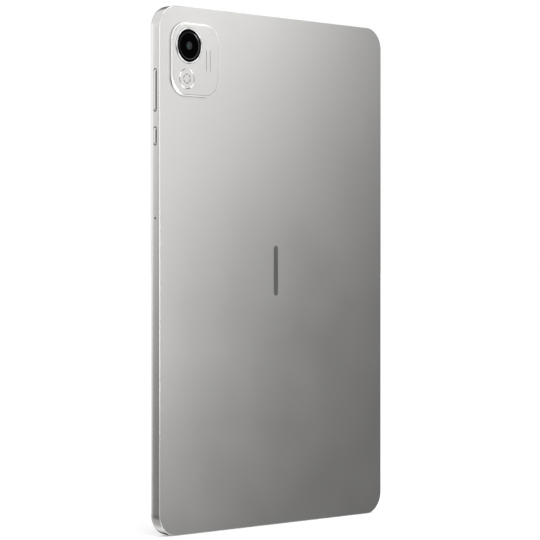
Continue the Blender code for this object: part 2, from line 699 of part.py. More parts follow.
def make_battery(cell, board):
    """Two pouch cells side by side and their protection board."""
    for side, across in (("left", -CELL_X), ("right", CELL_X)):
        thickness = CELL_LAYER[1] - CELL_LAYER[0]
        centre = (across, at_depth(CELL_LAYER[0]) + thickness / 2, CELL_Z)
        make_box(f"battery_cell_{side}", (CELL_SIZE[0], thickness, CELL_SIZE[1]), centre, cell, 0.6 * MM)
    top = CELL_Z + CELL_SIZE[1] / 2
    outline = rectangle(90 * MM, 7 * MM)
    make_slab("battery_protection_board", outline, (3.4 * MM, 4.6 * MM), (0.0, top + 4.6 * MM), board)


def make_boards(board, chip, can, film):
    """Main board, its chips under three shield cans, and the sheet that spreads their heat."""
    (left, right), (low, high) = BOARD_X, BOARD_Z
    step_x, step_z = BOARD_STEP
    outline = [
        (left, low), (right - step_x, low), (right - step_x, low + step_z / 3), (right, low + step_z / 3),
        (right, high), (left + step_x, high), (left + step_x, high - step_z / 3), (left, high - step_z / 3),
    ]
    make_slab("main_board", outline, BOARD_LAYER, (0.0, 0.0), board)

    cans = (
        ("processor", (38 * MM, 34 * MM), (2 * MM, 223 * MM)),
        ("power", (24 * MM, 26 * MM), (-36 * MM, 221 * MM)),
        ("wireless", (16 * MM, 22 * MM), (36 * MM, 228 * MM)),
    )
    for name, (width, height), place in cans:
        outline = rounded_rectangle(width, height, 0.8 * MM, steps=2)
        shield = make_slab(f"{name}_shield", outline, CAN_LAYER, place, can)
        hollow = bmesh.new()
        inside = rectangle(width - 2 * CAN_WALL, height - 2 * CAN_WALL, place)
        add_prism(hollow, inside, "Y", at_depth(CAN_LAYER[0] - CUT_MARGIN), at_depth(CAN_LAYER[1] - CAN_WALL))
        combine(shield, make_tool(f"{name}_shield_hollow", hollow))

    chips = (
        ("processor_chip", (14 * MM, 14 * MM), (-6 * MM, 228 * MM), 0.9 * MM),
        ("memory_chip", (11.5 * MM, 13 * MM), (11 * MM, 215 * MM), 0.8 * MM),
        ("power_chip", (7 * MM, 7 * MM), (-36 * MM, 221 * MM), 0.8 * MM),
    )
    for name, size, place, thickness in chips:
        make_slab(name, rectangle(*size), (CHIP_FRONT, CHIP_FRONT + thickness), place, chip)
    sheet = rectangle(96 * MM, 40 * MM)
    make_slab("thermal_sheet", sheet, (5.4 * MM, 5.55 * MM), (-4 * MM, 223 * MM), film)


def make_flexes(film):
    """Flexible circuits between the boards, the cameras and the display."""
    top = BOARD_LAYER[1] + 0.1 * MM
    layer = (top, top + FLEX_THICKNESS)
    length = 14 * MM
    reach = LENS_X - CAMERA_SIZE / 2 - 0.2 * MM
    strip = rectangle(length, CAMERA_SIZE / 2)
    make_slab("rear_camera_flex", strip, layer, (reach - length / 2, LENS_Z - 1 * MM), film)

    across = SIDE_X - CAMERA_FLEX_INSET
    width = CAMERA_FLEX_WIDTH
    low, high = MIDDLE_Z - 2 * MM, BOARD_Z[0] + 14 * MM
    inner = BOARD_X[1] - 4 * MM
    route = [
        (across - width, high), (across - width, low), (across + 2 * MM, low), (across + 2 * MM, low + width),
        (across, low + width), (across, high + width), (inner, high + width), (inner, high),
    ]
    make_slab("front_camera_flex", route, CAMERA_FLEX_LAYER, (0.0, 0.0), film)

    low, high = 18 * MM, BOARD_Z[0] + 4 * MM
    strip = rectangle(5.5 * MM, high - low)
    make_slab("board_flex", strip, BOARD_FLEX_LAYER, (0.0, (low + high) / 2), film)

    front, back = DISPLAY_FLEX_FRONT, DISPLAY_FLEX_BACK
    low, bond, end = DISPLAY_FLEX_LOW, DISPLAY_FLEX_BOND, DISPLAY_FLEX_END
    thick = FLEX_THICKNESS
    outside = [(bond, front), (low, front), (low, back), (end, back)]
    inner = low + thick
    inside = [(end, back - thick), (inner, back - thick), (inner, front + thick), (bond, front + thick)]
    profile = [(at_depth(depth), height) for height, depth in outside + inside]
    half = DISPLAY_FLEX_WIDTH / 2
    bm = bmesh.new()
    add_prism(bm, profile, "X", -half, half)
    make_object("display_flex", finish_mesh("display_flex", bm, film), (DISPLAY_FLEX_X, 0, 0))


def make_port(board, steel, plastic):
    """USB-C socket on its own small board."""
    make_slab("usb_board", rectangle(40 * MM, 20 * MM), (5.4 * MM, 5.95 * MM), (0.0, 14 * MM), board)
    depth = at_depth(PORT_DEPTH)
    bm = bmesh.new()
    add_prism(bm, stadium(USB_WIDTH, USB_HEIGHT, steps=6), "Z", 0, USB_LENGTH)
    shell = make_object("usb_c_shell", finish_mesh("usb_c_shell", bm, steel, True), (0, depth, USB_MOUTH_Z))
    bore = bmesh.new()
    mouth = (USB_WIDTH - 2 * USB_WALL, USB_HEIGHT - 2 * USB_WALL)
    inside = stadium(*mouth, (0.0, depth), 6)
    add_prism(bore, inside, "Z", -CUT_MARGIN, USB_LENGTH + CUT_MARGIN + 1 * MM)
    combine(shell, make_tool("usb_c_bore", bore))

    width, thickness, length = USB_TONGUE
    base_start = USB_MOUTH_Z + USB_LENGTH - 1.6 * MM
    bm = bmesh.new()
    add_prism(bm, rectangle(width, thickness), "Z", base_start - length, base_start + 0.3 * MM)
    tongue = make_object("usb_c_tongue", finish_mesh("usb_c_tongue", bm, plastic), (0, depth, 0))
    block = bmesh.new()
    filled = stadium(mouth[0] - 0.1 * MM, mouth[1] - 0.1 * MM, (0.0, depth), 6)
    add_prism(block, filled, "Z", base_start, base_start + 1.5 * MM)
    combine(tongue, make_tool("usb_c_block", block), "UNION")


def make_speakers(plastic, mesh_metal):
    """Four speaker boxes, each behind a strip of mesh and a row of slots."""
    box = (30 * MM, 3.0 * MM, 12 * MM)
    strip = (27 * MM, 2.2 * MM, 0.2 * MM)
    for name, across, end in speaker_places():
        wall = MIDDLE_Z + end * (MIDDLE_Z - WALL_THICKNESS)
        place = (across, at_depth(PORT_DEPTH), wall - end * 0.2 * MM)
        make_box(f"speaker_mesh_{name}", strip, place, mesh_metal)
        place = (across, at_depth(4.45 * MM), wall - end * (0.45 * MM + box[2] / 2))
        make_box(f"speaker_{name}", box, place, plastic, 0.4 * MM)


def make_microphones_and_antennas(chip, plastic):
    """Two microphones behind their holes and two antenna carriers."""
    depth = at_depth(PORT_DEPTH)
    inner = SIDE_X - WALL_THICKNESS
    make_box("side_microphone", (1.0 * MM, 2.6 * MM, 3.6 * MM), (inner - 0.7 * MM, depth, SIDE_MIC_Z), chip)
    bottom = (BOTTOM_MIC_X, depth, WALL_THICKNESS + 0.7 * MM)
    make_box("bottom_microphone", (3.6 * MM, 2.6 * MM, 1.0 * MM), bottom, chip)
    top = (0.0, at_depth(4.4 * MM), BODY_HEIGHT - WALL_THICKNESS - 3.6 * MM)
    make_box("top_antenna", (44 * MM, 2.8 * MM, 6.0 * MM), top, plastic, 0.3 * MM)
    side = (-inner + 2.0 * MM, at_depth(4.4 * MM), 172 * MM)
    make_box("side_antenna", (3.4 * MM, 2.8 * MM, 42 * MM), side, plastic, 0.3 * MM)


def main():
    """Clear the scene and build the tablet."""
    for leftover in list(bpy.data.objects):
        bpy.data.objects.remove(leftover, do_unlink=True)
    origin = bpy.data.objects.new("tablet_origin", None)
    bpy.context.scene.collection.objects.link(origin)

    aluminium = make_material("anodised_aluminium", (0.62, 0.61, 0.59), 0.38, 1.0)
    polished = make_material("polished_aluminium", (0.85, 0.85, 0.85), 0.12, 1.0)
    key_metal = make_material("key_aluminium", (0.6, 0.59, 0.57), 0.3, 1.0)
    frame_metal = make_material("frame_magnesium", (0.42, 0.42, 0.43), 0.5, 1.0)
    steel = make_material("stainless_steel", (0.6, 0.6, 0.6), 0.25, 1.0)
    black = make_material("black_plastic", (0.02, 0.02, 0.02), 0.5)
    glass = make_material("black_glass", (0.01, 0.01, 0.012), 0.05)
    panel = make_material("display_film", (0.02, 0.02, 0.03), 0.2)
    diffuser = make_material("backlight_film", (0.85, 0.85, 0.82), 0.5)
    adhesive = make_material("adhesive_foam", (0.03, 0.03, 0.03), 0.9)
    cell = make_material("battery_pouch", (0.12, 0.12, 0.13), 0.4)
    board = make_material("circuit_board", (0.02, 0.09, 0.06), 0.45)
    chip = make_material("chip_package", (0.03, 0.03, 0.035), 0.5)
    can = make_material("tinned_shield", (0.7, 0.7, 0.68), 0.3, 1.0)
    film = make_material("polyimide_film", (0.32, 0.16, 0.04), 0.4)
    graphite = make_material("graphite_sheet", (0.08, 0.08, 0.085), 0.5)

    make_rear_cover(aluminium)
    make_camera_plate(aluminium)
    make_rear_camera(polished, black, glass)
    make_display(glass, panel, diffuser, adhesive)
    make_mid_frame(frame_metal)
    make_front_camera(black, glass, chip)
    make_screws(steel)
    make_side_keys(key_metal, steel, film)
    make_battery(cell, board)
    make_boards(board, chip, can, graphite)
    make_flexes(film)
    make_port(board, steel, black)
    make_speakers(black, steel)
    make_microphones_and_antennas(chip, black)


main()
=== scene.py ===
"""Looks for a slim metal-backed tablet: fine meshes, finishes, soft studio light and a camera.

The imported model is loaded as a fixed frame. Each sub-assembly is a class that takes its places
from that frame, builds its pieces with bmesh operators, dresses them and lets them ride on the
frame's bodies. Sizes of pieces are in millimetres, and each finished mesh is scaled to metres:
X goes across the tablet, Z up its long side and Y out of its back.
"""

from __future__ import annotations

import logging
import math
from dataclasses import dataclass, field
from enum import Enum, IntEnum
from typing import Callable, Iterable, Sequence

import bmesh
import bpy
from mathutils import Matrix, Vector

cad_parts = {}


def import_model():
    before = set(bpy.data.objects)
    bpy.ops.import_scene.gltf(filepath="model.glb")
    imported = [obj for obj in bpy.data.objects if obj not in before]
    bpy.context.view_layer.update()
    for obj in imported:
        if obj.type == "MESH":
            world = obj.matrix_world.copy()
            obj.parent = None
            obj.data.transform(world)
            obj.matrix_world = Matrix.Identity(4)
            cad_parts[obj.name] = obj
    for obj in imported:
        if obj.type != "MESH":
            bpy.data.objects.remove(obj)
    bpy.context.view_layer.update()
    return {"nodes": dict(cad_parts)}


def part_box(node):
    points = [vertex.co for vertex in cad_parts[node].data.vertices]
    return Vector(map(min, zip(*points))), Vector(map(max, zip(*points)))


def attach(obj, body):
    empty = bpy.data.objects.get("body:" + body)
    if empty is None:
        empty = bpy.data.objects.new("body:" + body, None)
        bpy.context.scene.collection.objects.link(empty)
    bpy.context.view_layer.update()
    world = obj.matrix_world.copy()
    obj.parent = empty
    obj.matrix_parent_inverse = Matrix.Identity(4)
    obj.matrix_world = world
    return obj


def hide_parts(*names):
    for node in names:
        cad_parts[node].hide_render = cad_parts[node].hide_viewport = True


LOG = logging.getLogger("tablet")
MM = 0.001
Colour = tuple[float, float, float]

OUT_OF_BACK = Vector((0, 1, 0))
OUT_OF_FRONT = Vector((0, -1, 0))
OUT_OF_SIDE = Vector((1, 0, 0))
SPEAKERS = ("top_left", "top_right", "bottom_left", "bottom_right")
KEY_FLANGE = 0.5
"""How far a key's foot reaches past its visible part on every side."""
HAIR = 0.01
"""A small clearance, which keeps two faces from falling together."""
FULL_ROUND = 0.499
"""A corner's share of the width at a fully round end: a hair under half, so that no face vanishes."""


class Body(str, Enum):
    """The rigid bodies that pieces ride on."""

    TABLET = "tablet"
    POWER = "power_button"
    VOLUME = "volume_rocker"


class Slot(str, Enum):
    """The record's material slots."""

    SHELL = "shell_aluminium"
    KEY = "key_aluminium"
    RING = "ring_metal"
    COVER_GLASS = "cover_glass"
    LENS = "lens_glass"
    PLASTIC = "black_plastic"
    STEEL = "spring_steel"


class Axis(IntEnum):
    """The axes, as indices of a vector."""

    X = 0
    Y = 1
    Z = 2


class ShellSkin(IntEnum):
    """Material indices of the metal tray."""

    BACK = 0
    SIDE = 1
    CUT = 2
    # Painted shade: the near-black finish in the key slots and microphone holes, and on thin bands at the
    # side's edges.
    DARK = 3


class IslandSkin(IntEnum):
    """Material indices of the raised plate."""

    TOP = 0
    BEVEL = 1
    WALL = 2


class Pattern(Enum):
    """How a finish varies over its surface."""

    GRAIN = "grain"
    BRUSHED_UP = "brushed along z"
    TURNED = "turned in rings"
    MESH = "woven mesh"
    BOARD = "printed board"


STRETCH = {Pattern.BRUSHED_UP: (1.0, 1.0, 0.03), Pattern.TURNED: (0.25, 1.0, 0.25)}
"""How far each lined pattern squeezes its noise along X, Y and Z."""


# ---------------------------------------------------------------- node graphs and finishes


class Graph:
    """A thin wrapper that adds and links shader nodes."""

    def __init__(self, tree: bpy.types.NodeTree) -> None:
        """Keep the node tree.

        Args:
            tree: The node tree to build in.
        """
        self.tree = tree

    def add(
        self, kind: str, links: dict[str | int, bpy.types.NodeSocket] | None = None, **values: object
    ) -> bpy.types.Node:
        """Add a node.

        Args:
            kind: The node's type name without the ShaderNode prefix.
            links: Input name or index to the output socket that feeds it.
            values: Node properties, and input values under names with underscores for spaces.

        Returns:
            The new node.
        """
        node = self.tree.nodes.new(f"ShaderNode{kind}")
        for key, value in values.items():
            if hasattr(node, key):
                setattr(node, key, value)
            else:
                node.inputs[key.replace("_", " ")].default_value = value
        for key, socket in (links or {}).items():
            self.tree.links.new(socket, node.inputs[key])
        return node

    def feed(self, entry: bpy.types.NodeSocket, value: object) -> None:
        """Link an output to an input, or set the input to a plain value.

        Args:
            entry: The input.
            value: An output socket, a number or vector, or a colour's three channels.
        """
        if isinstance(value, bpy.types.NodeSocket):
            self.tree.links.new(value, entry)
        else:
            entry.default_value = (*value, 1.0) if entry.type == "RGBA" else value

    def surface(self, **values: object) -> None:
        """Feed the Principled shader.

        Args:
            values: What feeds each of its inputs, with underscores for spaces in the names.
        """
        shader = self.tree.nodes["Principled BSDF"]
        for key, value in values.items():
            self.feed(shader.inputs[key.replace("_", " ")], value)

    def math(
        self, operation: str, first: object, second: object = 0.0, clamp: bool = False
    ) -> bpy.types.NodeSocket:
        """Join two sockets or numbers with one operation.

        Args:
            operation: The Math node's operation.
            first: A socket or a number.
            second: A socket or a number.
            clamp: Whether the result is kept between 0 and 1.

        Returns:
            The result's socket.
        """
        node = self.add("Math", operation=operation, use_clamp=clamp)
        self.feed(node.inputs[0], first)
        self.feed(node.inputs[1], second)
        return node.outputs[0]

    def blend(self, share: bpy.types.NodeSocket, low: object, high: object) -> bpy.types.NodeSocket:
        """Mix two colours.

        Args:
            share: The socket that runs from 0, low, to 1, high.
            low: A colour or a colour socket.
            high: A colour or a colour socket.

        Returns:
            The mixed colour's socket.
        """
        node = self.add("Mix", data_type="RGBA")
        factor, first, second = (node.inputs[index] for index in (0, 6, 7))
        self.feed(factor, share)
        self.feed(first, low)
        self.feed(second, high)
        return node.outputs[2]

    def spread(self, share: bpy.types.NodeSocket, low: float, high: float) -> bpy.types.NodeSocket:
        """Map a 0 to 1 socket onto a range.

        Args:
            share: The socket.
            low: What 0 becomes.
            high: What 1 becomes.

        Returns:
            The mapped value's socket.
        """
        return self.add("MapRange", {"Value": share}, To_Min=low, To_Max=high).outputs[0]

    def axes(self) -> bpy.types.NodeOutputs:
        """The object coordinates' X, Y and Z sockets."""
        return self.add("SeparateXYZ", {"Vector": self.add("TexCoord").outputs["Object"]}).outputs

    def noise(
        self, scale: float, stretch: tuple[float, float, float] | None = None, detail: float = 3.0
    ) -> bpy.types.NodeSocket:
        """Noise on object coordinates.

        Args:
            scale: Features per metre.
            stretch: Extra scale along each axis.
            detail: Octaves of the noise.

        Returns:
            The noise value's socket.
        """
        place = self.add("TexCoord").outputs["Object"]
        if stretch is not None:
            place = self.add("Mapping", {"Vector": place}, Scale=stretch).outputs[0]
        return self.add("TexNoise", {"Vector": place}, Scale=scale, Detail=detail).outputs[0]


def new_material(name: str) -> tuple[bpy.types.Material, Graph]:
    """Make a material with a Principled shader.

    Args:
        name: Its name.

    Returns:
        The material and its graph.
    """
    material = bpy.data.materials.new(name)
    material.use_nodes = True
    return material, Graph(material.node_tree)


@dataclass(frozen=True)
class Finish:
    """A procedural finish: a base with large mottling and a fine pattern in colour, gloss and relief."""

    name: str
    colour: Colour
    shade: Colour
    roughness: tuple[float, float]
    metallic: float = 0.0
    pattern: Pattern = Pattern.GRAIN
    feature: float = 0.25 * MM
    relief: float = 0.05
    coat: float = 0.0
    coat_roughness: float = 0.05
    specular: float = 0.5
    specular_tint: Colour = (1.0, 1.0, 1.0)
    mottle_scale: float = 28.0
    fine_share: float = 0.65
    noise_span: tuple[float, float] = (0.3, 0.7)
    weave_level: float = 0.6
    track_scale: float = 0.2
    track_reach: float = 0.28

    def fine_pattern(self, graph: Graph) -> bpy.types.NodeSocket:
        """The small pattern as a 0 to 1 socket.

        Args:
            graph: The material's graph.

        Returns:
            The pattern's socket.
        """
        scale = 1.0 / self.feature
        if self.pattern is Pattern.MESH:
            waves = [
                graph.math("SINE", graph.math("MULTIPLY", place, 2 * math.pi * scale))
                for place in graph.axes()[:2]
            ]
            return graph.math("GREATER_THAN", graph.math("ADD", *waves), self.weave_level)
        if self.pattern is Pattern.BOARD:
            place = graph.add("TexCoord").outputs["Object"]
            cells = graph.add(
                "TexVoronoi", {"Vector": place}, distance="MANHATTAN", Scale=scale * self.track_scale
            )
            return graph.math("LESS_THAN", cells.outputs["Distance"], self.track_reach)
        return graph.noise(scale, STRETCH.get(self.pattern))

    def build(self) -> bpy.types.Material:
        """Make the material.

        Returns:
            The material with its node graph.
        """
        material, graph = new_material(self.name)
        fine = self.fine_pattern(graph)
        share = graph.math(
            "ADD",
            graph.math("MULTIPLY", fine, self.fine_share),
            graph.math("MULTIPLY", graph.noise(self.mottle_scale, detail=2.0), 1 - self.fine_share),
        )
        if self.pattern not in (Pattern.MESH, Pattern.BOARD):
            low, high = self.noise_span
            share = graph.add("MapRange", {"Value": share}, From_Min=low, From_Max=high).outputs[0]
        bump = graph.add("Bump", {"Height": fine}, Strength=self.relief, Distance=self.feature)
        graph.surface(
            Base_Color=graph.blend(share, self.colour, self.shade),
            Roughness=graph.spread(share, *self.roughness),
            Normal=bump.outputs[0],
            Metallic=self.metallic,
            Specular_IOR_Level=self.specular,
            Specular_Tint=self.specular_tint,
            Coat_Weight=self.coat,
            Coat_Roughness=self.coat_roughness,
        )
        return material


BLASTED = Finish(
    "blasted_aluminium", (0.664, 0.657, 0.644), (0.634, 0.627, 0.614), (0.36, 0.42), 1.0,
    feature=0.22 * MM, relief=0.045,
)
SIDE_SATIN = Finish(
    "side_aluminium", (0.70, 0.69, 0.675), (0.67, 0.66, 0.645), (0.17, 0.23), 1.0, feature=0.2 * MM,
    relief=0.03,
)
DIAMOND_CUT = Finish(
    "diamond_cut_aluminium", (0.90, 0.895, 0.89), (0.86, 0.855, 0.85), (0.10, 0.16), 1.0,
    Pattern.BRUSHED_UP, 0.1 * MM, 0.02,
)
ISLAND_EDGE = Finish(
    "island_edge", (0.84, 0.835, 0.83), (0.80, 0.795, 0.79), (0.20, 0.28), 0.52, Pattern.TURNED,
    0.12 * MM, 0.02,
)
# Near-black metal for painted shade: it darkens the key slots and microphone holes, and draws dark lines
# along the side's front and back edges.
PAINTED_SHADE_METAL = Finish(
    "painted_shade_metal", (0.05, 0.05, 0.05), (0.08, 0.08, 0.08), (0.4, 0.5), 0.8, feature=0.15 * MM, relief=0.05,
)
KEY_SATIN = Finish(
    "key_aluminium_satin", (0.68, 0.67, 0.655), (0.64, 0.63, 0.615), (0.12, 0.2), 1.0,
    Pattern.BRUSHED_UP, 0.12 * MM, 0.03,
)
RING_METAL = Finish(
    "polished_ring", (0.88, 0.88, 0.88), (0.82, 0.82, 0.825), (0.08, 0.16), 1.0, Pattern.TURNED,
    0.15 * MM, 0.015,
)
RING_SATIN = Finish(
    "satin_ring", (0.66, 0.66, 0.66), (0.6, 0.6, 0.6), (0.24, 0.32), 1.0, Pattern.TURNED, 0.15 * MM,
    0.02,
)
LENS_BLACK = Finish(
    "lens_black", (0.0004, 0.0004, 0.0005), (0.0007, 0.0007, 0.0008), (0.03, 0.07), 0.0,
    feature=0.6 * MM, relief=0.004, specular=0.004,
)
LENS_BEVEL = Finish(
    "lens_bevel", (0.075, 0.073, 0.072), (0.05, 0.05, 0.05), (0.12, 0.2), 1.0, Pattern.TURNED, 0.15 * MM,
    0.02,
)
LENS_COATED = Finish(
    "coated_lens", (0.010, 0.009, 0.014), (0.018, 0.014, 0.024), (0.04, 0.08), 0.0, feature=0.5 * MM,
    relief=0.003, specular_tint=(0.3, 1.0, 0.85), specular=0.55,
)
LENS_CELL = Finish(
    "lens_cell", (0.010, 0.009, 0.012), (0.016, 0.015, 0.018), (0.3, 0.42), 0.0, Pattern.TURNED,
    0.1 * MM, 0.05, specular=0.15,
)
MARK_DARK = Finish(
    "mark_dark", (0.16, 0.16, 0.16), (0.2, 0.2, 0.2), (0.22, 0.3), 1.0, feature=0.15 * MM, relief=0.02,
)
MARK_GREY = Finish(
    "mark_grey", (0.3, 0.295, 0.29), (0.36, 0.355, 0.35), (0.3, 0.38), 1.0, feature=0.15 * MM,
    relief=0.02,
)
MARK_BRIGHT = Finish(
    "mark_bright", (0.92, 0.92, 0.92), (0.88, 0.88, 0.88), (0.15, 0.22), 0.45, feature=0.15 * MM,
    relief=0.02,
)
PLASTIC = Finish(
    "moulded_plastic", (0.018, 0.018, 0.019), (0.03, 0.03, 0.031), (0.42, 0.55), 0.0, feature=0.3 * MM,
    relief=0.12,
)
GASKET = Finish(
    "gasket_rubber", (0.02, 0.02, 0.021), (0.028, 0.028, 0.029), (0.6, 0.72), 0.0, feature=0.2 * MM,
    relief=0.1,
)
STEEL = Finish(
    "stainless_steel", (0.6, 0.6, 0.605), (0.54, 0.54, 0.545), (0.2, 0.32), 1.0, Pattern.BRUSHED_UP,
    0.15 * MM, 0.04,
)
GOLD = Finish(
    "gold_contact", (0.86, 0.62, 0.27), (0.78, 0.55, 0.22), (0.18, 0.26), 1.0, feature=0.1 * MM,
    relief=0.02,
)
SPEAKER_MESH = Finish(
    "speaker_mesh", (0.05, 0.05, 0.052), (0.16, 0.16, 0.165), (0.35, 0.5), 0.8, Pattern.MESH, 0.32 * MM,
    0.6,
)
CAST_FRAME = Finish(
    "cast_frame", (0.2, 0.2, 0.205), (0.28, 0.28, 0.285), (0.45, 0.6), 0.7, feature=0.4 * MM,
    relief=0.12,
)
POLARISER = Finish(
    "polariser", (0.015, 0.015, 0.022), (0.02, 0.02, 0.03), (0.12, 0.2), 0.0, feature=0.5 * MM,
    relief=0.01,
)
DIFFUSER = Finish(
    "diffuser_film", (0.82, 0.82, 0.79), (0.88, 0.88, 0.85), (0.4, 0.5), 0.0, feature=0.3 * MM,
    relief=0.03,
)
FOAM = Finish(
    "adhesive_foam", (0.02, 0.02, 0.02), (0.045, 0.045, 0.045), (0.8, 0.95), 0.0, feature=0.15 * MM,
    relief=0.3,
)
FLEX = Finish(
    "polyimide_flex", (0.34, 0.15, 0.03), (0.27, 0.11, 0.02), (0.25, 0.38), 0.0, Pattern.BRUSHED_UP,
    0.4 * MM, 0.06, coat=0.3,
)
PACKAGE = Finish(
    "chip_package", (0.025, 0.025, 0.028), (0.05, 0.05, 0.053), (0.4, 0.55), 0.0, feature=0.2 * MM,
    relief=0.06,
)
POUCH = Finish(
    "battery_pouch", (0.09, 0.09, 0.1), (0.14, 0.14, 0.15), (0.3, 0.42), 0.3, feature=1.5 * MM,
    relief=0.12,
)
BOARD = Finish(
    "circuit_board", (0.01, 0.07, 0.045), (0.03, 0.13, 0.085), (0.3, 0.45), 0.0, Pattern.BOARD, 0.5 * MM,
    0.1, coat=0.3,
)
SHIELD_TIN = Finish(
    "tinned_shield", (0.7, 0.7, 0.68), (0.6, 0.6, 0.585), (0.25, 0.38), 1.0, feature=0.8 * MM,
    relief=0.05,
)
GRAPHITE = Finish(
    "graphite_sheet", (0.05, 0.05, 0.053), (0.09, 0.09, 0.095), (0.35, 0.5), 0.4, feature=0.6 * MM,
    relief=0.12,
)


@dataclass(frozen=True)
class DisplayGlass:
    """Black-backed cover glass: a printed border, a slightly lighter panel and faint smears."""

    name: str = "display_glass"
    border: Colour = (0.003, 0.003, 0.0035)
    panel: Colour = (0.008, 0.0085, 0.0105)
    half_width: float = 75.1 * MM
    half_height: float = 125.2 * MM
    edge: float = 0.15 * MM
    roughness: tuple[float, float] = (0.02, 0.085)
    specular: float = 0.15
    smear_scale: float = 22.0
    smear_stretch: tuple[float, float, float] = (1.0, 1.0, 0.5)
    smear_detail: float = 4.0

    def build(self, middle_z: float) -> bpy.types.Material:
        """Make the material.

        Args:
            middle_z: Height of the display's middle, in metres.

        Returns:
            The material.
        """
        material, graph = new_material(self.name)
        place = graph.axes()
        across = graph.math("ABSOLUTE", place["X"])
        along = graph.math("ABSOLUTE", graph.math("SUBTRACT", place["Z"], middle_z))
        inside = []
        for distance, half in ((across, self.half_width), (along, self.half_height)):
            margin = graph.math("DIVIDE", graph.math("SUBTRACT", half, distance), self.edge)
            inside.append(graph.math("ADD", margin, 0.5, clamp=True))
        smears = graph.noise(self.smear_scale, self.smear_stretch, self.smear_detail)
        graph.surface(
            Base_Color=graph.blend(graph.math("MULTIPLY", *inside), self.border, self.panel),
            Roughness=graph.spread(smears, *self.roughness),
            Specular_IOR_Level=self.specular,
        )
        return material


# ---------------------------------------------------------------- mesh tools


def box(node: str) -> tuple[Vector, Vector]:
    """A node's lowest and highest corner in millimetres."""
    low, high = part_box(node)
    return Vector(low) / MM, Vector(high) / MM


def centre_of(node: str) -> Vector:
    """The middle of a node's box in millimetres."""
    low, high = box(node)
    return (low + high) / 2


def spaced(count: int, pitch: float) -> list[float]:
    """Even places on both sides of zero."""
    return [-(count - 1) / 2 * pitch + index * pitch for index in range(count)]


def rounded_block(size: Vector, radius: float, axis: Axis, segments: int) -> bmesh.types.BMesh:
    """A block about the origin whose four edges along one axis are rounded.

    Args:
        size: Full size along X, Y and Z.
        radius: Radius of the four edges.
        axis: The axis that those edges follow.
        segments: Faces around each rounded edge.

    Returns:
        The new mesh.
    """
    bm = bmesh.new()
    bmesh.ops.create_cube(bm, size=1.0)
    bmesh.ops.scale(bm, vec=size, verts=bm.verts[:])
    along = [e for e in bm.edges if abs((e.verts[0].co - e.verts[1].co)[axis]) > size[axis] * 0.5]
    bmesh.ops.bevel(
        bm, geom=along, offset=radius, offset_type="OFFSET", segments=segments, profile=0.5,
        affect="EDGES", material=-1, clamp_overlap=True,
    )
    return bm


def end_face(bm: bmesh.types.BMesh, direction: Vector) -> bmesh.types.BMFace:
    """The face that lies furthest in a direction and looks that way.

    Args:
        bm: The mesh, which has at least one flat face across the direction.
        direction: A unit vector.

    Returns:
        The face.
    """
    bm.normal_update()
    facing = [face for face in bm.faces if face.normal.dot(direction) > 0.999]
    return max(facing, key=lambda face: face.calc_center_median().dot(direction))


def inset_steps(
    bm: bmesh.types.BMesh, direction: Vector, steps: Iterable[tuple[float, float, int]]
) -> None:
    """Shape an end of a block: each step insets the end face and moves it outwards.

    Args:
        bm: The mesh.
        direction: The way that the end face looks.
        steps: (inset, rise, material index of the new band) of each step.
    """
    for inset, rise, finish in steps:
        face = end_face(bm, direction)
        made = bmesh.ops.inset_region(
            bm, faces=[face], thickness=inset, depth=0.0, use_even_offset=True, use_boundary=True
        )
        bmesh.ops.translate(bm, vec=direction * rise, verts=face.verts[:])
        for band in made["faces"]:
            band.material_index = finish


def pulled_out(bm: bmesh.types.BMesh, direction: Vector) -> list[bmesh.types.BMVert]:
    """Extrude an end face without moving it.

    Args:
        bm: The mesh.
        direction: The way that the end face looks.

    Returns:
        The vertices of the new end face, which the caller moves.
    """
    face = end_face(bm, direction)
    made = bmesh.ops.extrude_face_region(bm, geom=[face])
    bmesh.ops.delete(bm, geom=[face], context="FACES_ONLY")
    return [item for item in made["geom"] if isinstance(item, bmesh.types.BMVert)]


def sink(bm: bmesh.types.BMesh, direction: Vector, depth: float) -> None:
    """Push an end face straight into the block, which leaves walls around it."""
    bmesh.ops.translate(bm, vec=direction * -depth, verts=pulled_out(bm, direction))


def turned(profile: Sequence[tuple[float, float]], steps: int) -> bmesh.types.BMesh:
    """Spin a profile about the Y axis.

    Args:
        profile: (radius, y) points; it closes on the axis if both ends have radius 0.
        steps: Faces around the turn.

    Returns:
        The new mesh.
    """
    bm = bmesh.new()
    verts = [bm.verts.new((radius, along, 0.0)) for radius, along in profile]
    open_ended = profile[0][0] == 0 and profile[-1][0] == 0
    pairs = list(zip(verts, verts[1:] if open_ended else verts[1:] + verts[:1]))
    edges = [bm.edges.new(pair) for pair in pairs]
    bmesh.ops.spin(
        bm, geom=verts + edges, cent=(0, 0, 0), axis=(0, 1, 0), dvec=(0, 0, 0),
        angle=2 * math.pi, steps=steps, use_merge=True,
    )
    bmesh.ops.remove_doubles(bm, verts=bm.verts[:], dist=0.0005)
    return bm


def dome(radius: float, rise: float, floor: float, steps: int) -> list[tuple[float, float]]:
    """The profile of a dome, from its floor up to its crown.

    Args:
        radius: Radius of its rim.
        rise: Height of its crown over the floor, below zero for a dome that looks along -Y.
        floor: Y of its floor.
        steps: Bands from rim to crown.

    Returns:
        The (radius, y) points.
    """
    points = [(0.0, floor), (radius, floor)]
    for index in range(1, steps):
        angle = math.pi / 2 * index / steps
        points.append((radius * math.cos(angle), floor + rise * math.sin(angle)))
    return [*points, (0.0, floor + rise)]


